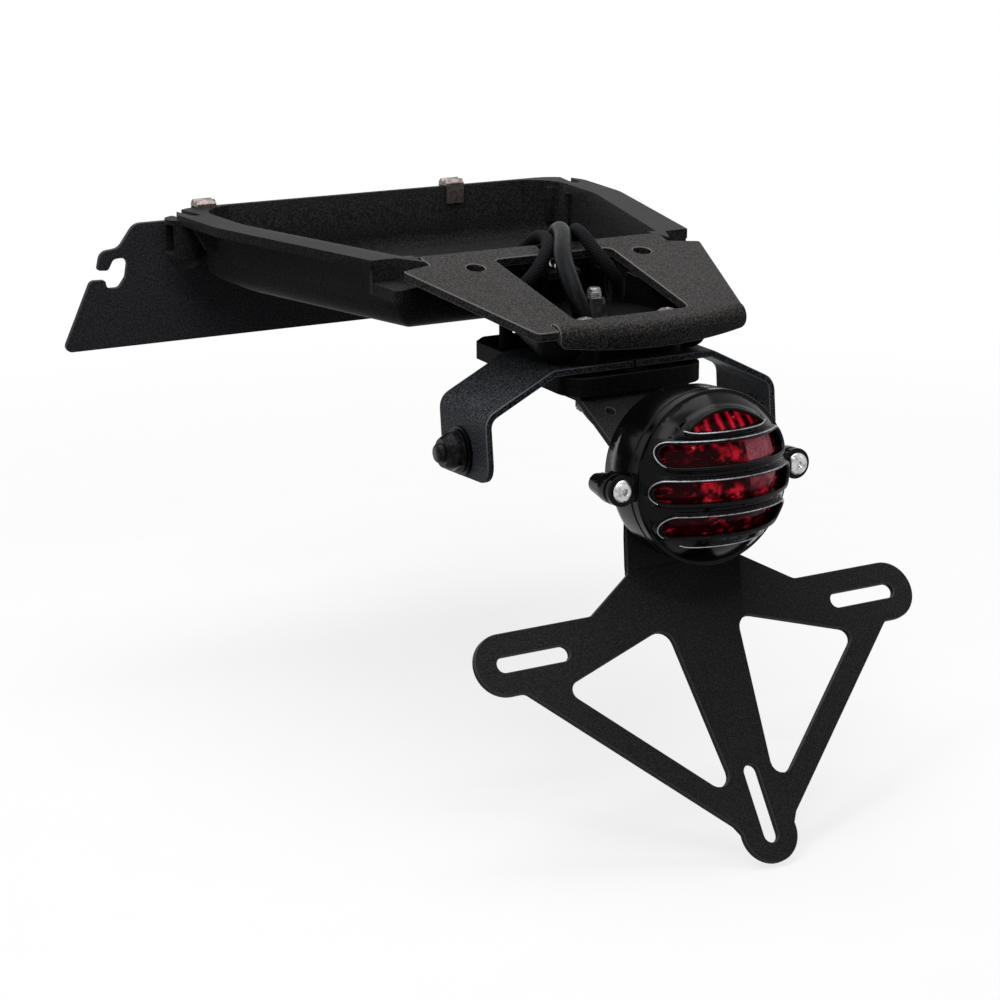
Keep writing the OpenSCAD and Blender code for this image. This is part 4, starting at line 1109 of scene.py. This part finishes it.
@dataclass(frozen=True)
class Lead:
    """One lead from the stack or the lamp to its plug in the tray."""

    side: Side
    route: tuple[Point, ...]
    diameter_mm: float
    finish: Finish
    slot: str
    plug_at: tuple[float, float]
    plug_w: float
    plug_floor: float = -26.9
    plug_ribs: int = 6
    rib_step: float = 3.0
    sides: int = 28
    steps: int = 4
    sharp_deg: float = 60.0

    def path(self) -> list[Vector]:
        """The route as a smooth line, through every point.

        Returns:
            Its points in metres.
        """
        pts = [Vector(p) for p in self.route]
        ends = [pts[0] * 2.0 - pts[1]] + pts + [pts[-1] * 2.0 - pts[-2]]
        line: list[Vector] = []
        for i in range(1, len(ends) - 2):
            a, b, c, d = ends[i - 1:i + 3]
            for k in range(self.steps):
                t = k / self.steps
                line.append(0.5 * (2 * b + (c - a) * t + (2 * a - 5 * b + 4 * c - d) * t * t
                                   + (3 * b - a - 3 * c + d) * t ** 3))
        line.append(pts[-1])
        return [p * MM for p in line]

    def tube(self, line: list[Vector]) -> bpy.types.Mesh:
        """A closed tube along the line, mapped round it and along it.

        Args:
            line: Its middle line.

        Returns:
            The mesh.
        """
        sides = self.sides
        radius = self.diameter_mm * MM / 2.0
        work = bmesh.new()
        layer = work.loops.layers.uv.new("UVMap")
        across = Vector((1.0, 0.0, 0.0))
        rings: list[list[bmesh.types.BMVert]] = []
        run = [0.0]
        for i, here in enumerate(line):
            ahead = (line[min(i + 1, len(line) - 1)] - line[max(i - 1, 0)]).normalized()
            across = (across - ahead * across.dot(ahead)).normalized()
            up = ahead.cross(across)
            if i:
                run.append(run[-1] + (here - line[i - 1]).length)
            rings.append([work.verts.new(here + radius * (
                across * math.cos(TURN * k / sides) + up * math.sin(TURN * k / sides)))
                for k in range(sides)])
        round_length = TURN * radius
        for i in range(len(line) - 1):
            for k in range(sides):
                n = (k + 1) % sides
                face = work.faces.new((rings[i][k], rings[i][n],
                                       rings[i + 1][n], rings[i + 1][k]))
                marks = ((k, i), (k + 1, i), (k + 1, i + 1), (k, i + 1))
                for loop, (a, b) in zip(face.loops, marks):
                    loop[layer].uv = (a / sides, run[b] / round_length)
        work.faces.new(list(reversed(rings[0])))
        work.faces.new(rings[-1])
        bmesh.ops.recalc_face_normals(work, faces=work.faces)
        mesh = bpy.data.meshes.new(self.side.value + "_tube")
        written(work, mesh, self.sharp_deg)
        return mesh

    def plug(self) -> bpy.types.Object:
        """Makes the plug at the lead's end, with a latch and ribs on its sides.

        Returns:
            The piece.
        """
        x, y = self.plug_at
        half, low = self.plug_w / 2, self.plug_floor
        work = bmesh.new()
        shell = ((x - half, y, low), (x + half, y + 22, low + 9))
        latch = ((x - 2.5, y + 4, low + 8.8), (x + 2.5, y + 16, low + 10.6))
        nose = ((x - half + 1, y + 21.8, low + 1), (x + half - 1, y + 30, low + 8))
        boxes = [shell, latch, nose]
        for k in range(self.plug_ribs):
            start = y + self.rib_step * k
            boxes.append(((x - half, start + 2, low + 1.5), (x + half, start + 3.2, low + 9.3)))
        for a, b in boxes:
            made = bmesh.ops.create_cube(work, size=1.0)["verts"]
            for v in made:
                v.co = Vector([(a[i] + b[i]) / 2 + (b[i] - a[i]) * v.co[i] for i in range(3)]) * MM
        mesh = bpy.data.meshes.new(self.side.value + "_plug")
        written(work, mesh)
        thing = piece(self.side.value + "_plug", mesh, PLUG, "plug_plastic")
        bevel = thing.modifiers.new("soft_corners", "BEVEL")
        bevel.width = 0.4 * MM
        bevel.segments = 2
        settled(thing)
        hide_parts("lead_plugs")
        return thing

    def build(self) -> None:
        """Makes the lead and its plug, and works out its length."""
        line = self.path()
        mesh = self.tube(line)
        thing = piece(self.side.value + "_tube", mesh, self.finish, self.slot)
        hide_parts(self.side.value)
        plug_piece = self.plug()
        length = sum((b - a).length for a, b in zip(line, line[1:]))


@dataclass
class Wiring:
    """The lamp's sleeve and the two braided leads of the indicators."""

    lamp: tuple[Point, ...] = (
        (0, -106, -93.7), (0, -101, -94.1), (0.2, -96, -94.3), (1, -91, -92.6), (2, -87, -88.6),
        (2.6, -84, -83.2), (2.6, -80.6, -77.8), (1.8, -76, -73.2), (0, -70.4, -69.4),
        (-2.8, -64.2, -66), (-6.4, -57.4, -63), (-9.8, -51, -59), (-12.3, -46, -53.8),
        (-13, -43.2, -47.8), (-13, -43, -42), (-13, -43, -35), (-13, -43, -28), (-13, -43, -21.5),
        (-13.3, -42.8, -17.2), (-14, -41.2, -12.4), (-14, -37.8, -8.4), (-13, -33, -5),
        (-11.2, -26.5, -1.6), (-8.4, -18.5, 1.6), (-4.8, -10.5, 4.2), (-0.4, -2.5, 6),
        (4.2, 5.5, 7.4), (8.2, 13, 8.2), (11.4, 20.4, 8.4), (13.8, 27.4, 6.8), (15.4, 34, 2.6),
        (16.6, 40.4, -3.6), (17.4, 47, -10.4), (17.8, 54.2, -16.6), (18, 62, -21),
        (18, 67.6, -22.3), (18, 72.2, -22.3))
    left: tuple[Point, ...] = (
        (-28.4, -2, -42), (-28.4, -2, -37), (-28.4, -2, -32), (-28.4, -2, -27), (-28.4, -2, -22),
        (-27.9, -3, -17.4), (-25.6, -4.6, -13), (-22, -5.8, -9), (-17.4, -5.6, -5.2),
        (-12.6, -3.6, -1.6), (-8.4, -0.4, 1.6), (-4.6, 3.6, 3.8), (-1.6, 8.4, 5.2), (1, 13.8, 6),
        (2.6, 19.6, 6.2), (3.4, 25.4, 5.6), (3.2, 31, 3), (1.4, 36.4, -1.6), (-1.8, 41.8, -7),
        (-6.4, 47.4, -12.4), (-11.6, 52.8, -17), (-17, 58, -20.4), (-21.4, 62.6, -22),
        (-24.2, 67, -22.3), (-25, 70.6, -22.3), (-25, 72.2, -22.3))
    right: tuple[Point, ...] = (
        (28.4, -2, -42), (28.4, -2, -37), (28.4, -2, -32), (28.4, -2, -27), (28.4, -2, -22),
        (28, -3.4, -17.4), (26.4, -5.8, -13), (23.4, -7.4, -8.8), (20.4, -6.8, -4.4),
        (18.2, -3.8, -0.4), (17, 0.8, 3), (17, 6, 5.8), (17.6, 11.6, 7.6), (18.8, 17.4, 8.2),
        (20.6, 23.2, 7.4), (23.2, 28.8, 4.8), (26.4, 34.4, 0.2), (30, 40.2, -5.4),
        (34, 46.6, -11.2), (38, 53.6, -16.6), (41.2, 60.6, -20.6), (43, 67, -22.3),
        (43, 72.2, -22.3))
    sleeve_d: float = 8.0
    loom_d: float = 6.0

    def build(self) -> None:
        """Makes the three leads."""
        Lead(Side.LAMP, self.lamp, self.sleeve_d, SLEEVE, "rubber_sleeve", (18, 72.3),
             16).build()
        Lead(Side.LEFT, self.left, self.loom_d, BRAID, "braid", (-25, 72.3), 12).build()
        Lead(Side.RIGHT, self.right, self.loom_d, BRAID, "braid", (43, 72.3), 12).build()


@dataclass(frozen=True)
class SoftBox:
    """A rectangular lamp of the studio, in metres and watts."""

    name: str
    at: Point
    towards: Point
    size: tuple[float, float]
    power: float

    def build(self) -> None:
        """Adds the lamp and turns it to what it lights."""
        data = bpy.data.lights.new(self.name, "AREA")
        data.shape = "RECTANGLE"
        data.size, data.size_y = self.size
        data.energy = self.power
        thing = shown(self.name, data)
        look = (Vector(self.towards) - Vector(self.at)).to_track_quat("-Z", "Y")
        thing.matrix_world = Matrix.Translation(self.at) @ look.to_matrix().to_4x4()


def direct_rays(tree: bpy.types.NodeTree) -> Socket:
    """1 for camera, glossy and transmission rays, which see white, and 0 for all others."""
    path = tree.nodes.new("ShaderNodeLightPath")
    seen = Socket(tree, path.outputs["Is Camera Ray"])
    for name in ("Is Glossy Ray", "Is Transmission Ray"):
        seen = seen.math("MAXIMUM", Socket(tree, path.outputs[name]))
    return seen


@dataclass
class Studio:
    """The camera, the soft lights, the white surroundings and the floor."""

    eye: Point = (-0.4798, -0.8526, 0.1854)
    lens: float = 80.93
    sensor: float = 36.0
    right: Point = (0.88409, -0.46732, -0.00463)
    up: Point = (0.13940, 0.25425, 0.95706)
    back: Point = (-0.44607, -0.84675, 0.28992)
    sky: Colour = (0.93, 0.95, 1.0)
    ambient: float = 0.14
    floor_z: float = -0.2165
    floor_size: float = 3.0
    floor_fade: tuple[float, float] = (0.4, 0.9)
    floor_tones: tuple[float, float] = (0.27, 0.29)
    floor_glow: float = 0.79
    floor_dull: float = 0.16
    lights: tuple[SoftBox, ...] = (
        SoftBox("top_box", (0.05, 0.25, 1.15), (0.0, 0.0, -0.03), (1.1, 0.8), 9.5),
        SoftBox("left_strip", (-0.6, -0.25, 0.8), (-0.05, -0.05, -0.05), (0.25, 0.5), 2.2),
        SoftBox("right_strip", (0.95, -0.55, 0.35), (0.0, -0.15, -0.07), (0.3, 0.8), 0.5),
        SoftBox("crest_strip", (-0.25, -0.8, 0.85), (0.0, -0.15, -0.07), (0.5, 0.03), 1.2))

    def camera(self) -> None:
        """Places the camera as the photograph's."""
        data = bpy.data.cameras.new("camera")
        data.lens = self.lens
        data.sensor_width = self.sensor
        data.clip_start = 0.01
        thing = shown("camera", data)
        turn = Matrix((self.right, self.up, self.back)).transposed().to_4x4()
        thing.matrix_world = Matrix.Translation(self.eye) @ turn
        bpy.context.scene.camera = thing

    def surroundings(self) -> None:
        """A white world that lights the object softly."""
        world = bpy.data.worlds.new("surroundings")
        bpy.context.scene.world = world
        world.use_nodes = True
        tree = world.node_tree
        tree.nodes.clear()
        mix = tree.nodes.new("ShaderNodeMixShader")
        plug(tree, mix.inputs[0], direct_rays(tree))
        for place, tone, strength in ((1, self.sky, self.ambient), (2, (1.0, 1.0, 1.0), 1.0)):
            glow = tree.nodes.new("ShaderNodeBackground")
            plug(tree, glow.inputs["Color"], tone)
            plug(tree, glow.inputs["Strength"], strength)
            tree.links.new(glow.outputs[0], mix.inputs[place])
        out = tree.nodes.new("ShaderNodeOutputWorld")
        tree.links.new(mix.outputs[0], out.inputs["Surface"])

    def floor(self) -> None:
        """A pale floor that keeps the object's shadow near it and is plain white far off."""
        work = bmesh.new()
        bmesh.ops.create_grid(work, x_segments=1, y_segments=1, size=self.floor_size)
        mesh = bpy.data.meshes.new("floor")
        written(work, mesh)
        for vertex in mesh.vertices:
            vertex.co.z = self.floor_z
        s = Shader("floor_white")
        at = s.place()
        away = s.node("ShaderNodeVectorMath", {"operation": "LENGTH"}, {0: at},
                      output="Value").between(*self.floor_fade)
        low, high = self.floor_tones
        shaded = s.blend(s.noise(at, 40.0, 2.0), (low, low, low), (high, high, high))
        lit = s.node("ShaderNodeAddShader", inputs={
            0: s.node("ShaderNodeBsdfDiffuse", inputs={"Color": shaded}),
            1: s.node("ShaderNodeEmission", inputs={"Strength": self.floor_glow})})
        plain = s.node("ShaderNodeEmission", inputs={"Strength": 1.0})
        seen = s.node("ShaderNodeMixShader", inputs={0: away, 1: lit, 2: plain})
        grey = (self.floor_dull, self.floor_dull, self.floor_dull)
        dull = s.node("ShaderNodeBsdfDiffuse", inputs={"Color": grey})
        surface = s.node("ShaderNodeMixShader", inputs={0: direct_rays(s.tree), 1: dull, 2: seen})
        s.node("ShaderNodeOutputMaterial", inputs={"Surface": surface})
        mesh.materials.append(s.material)
        shown("floor", mesh)

    def build(self) -> None:
        """Sets up everything that isn't the object."""
        bpy.context.scene.view_settings.view_transform = "Standard"
        self.surroundings()
        self.floor()
        for box in self.lights:
            box.build()


def main() -> None:
    """Builds the classes in order and reports each piece."""
    logging.basicConfig(level=logging.INFO, format="%(message)s")
    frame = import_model()
    studio = Studio()
    studio.camera()
    Wiring().build()
    TrayShell().build(frame)
    SeatStack().build(frame)
    IndicatorArms().build(frame)
    PlateHanger().build(frame)
    TailLamp().build(frame)
    studio.build()


if __name__ == "__main__":
    main()
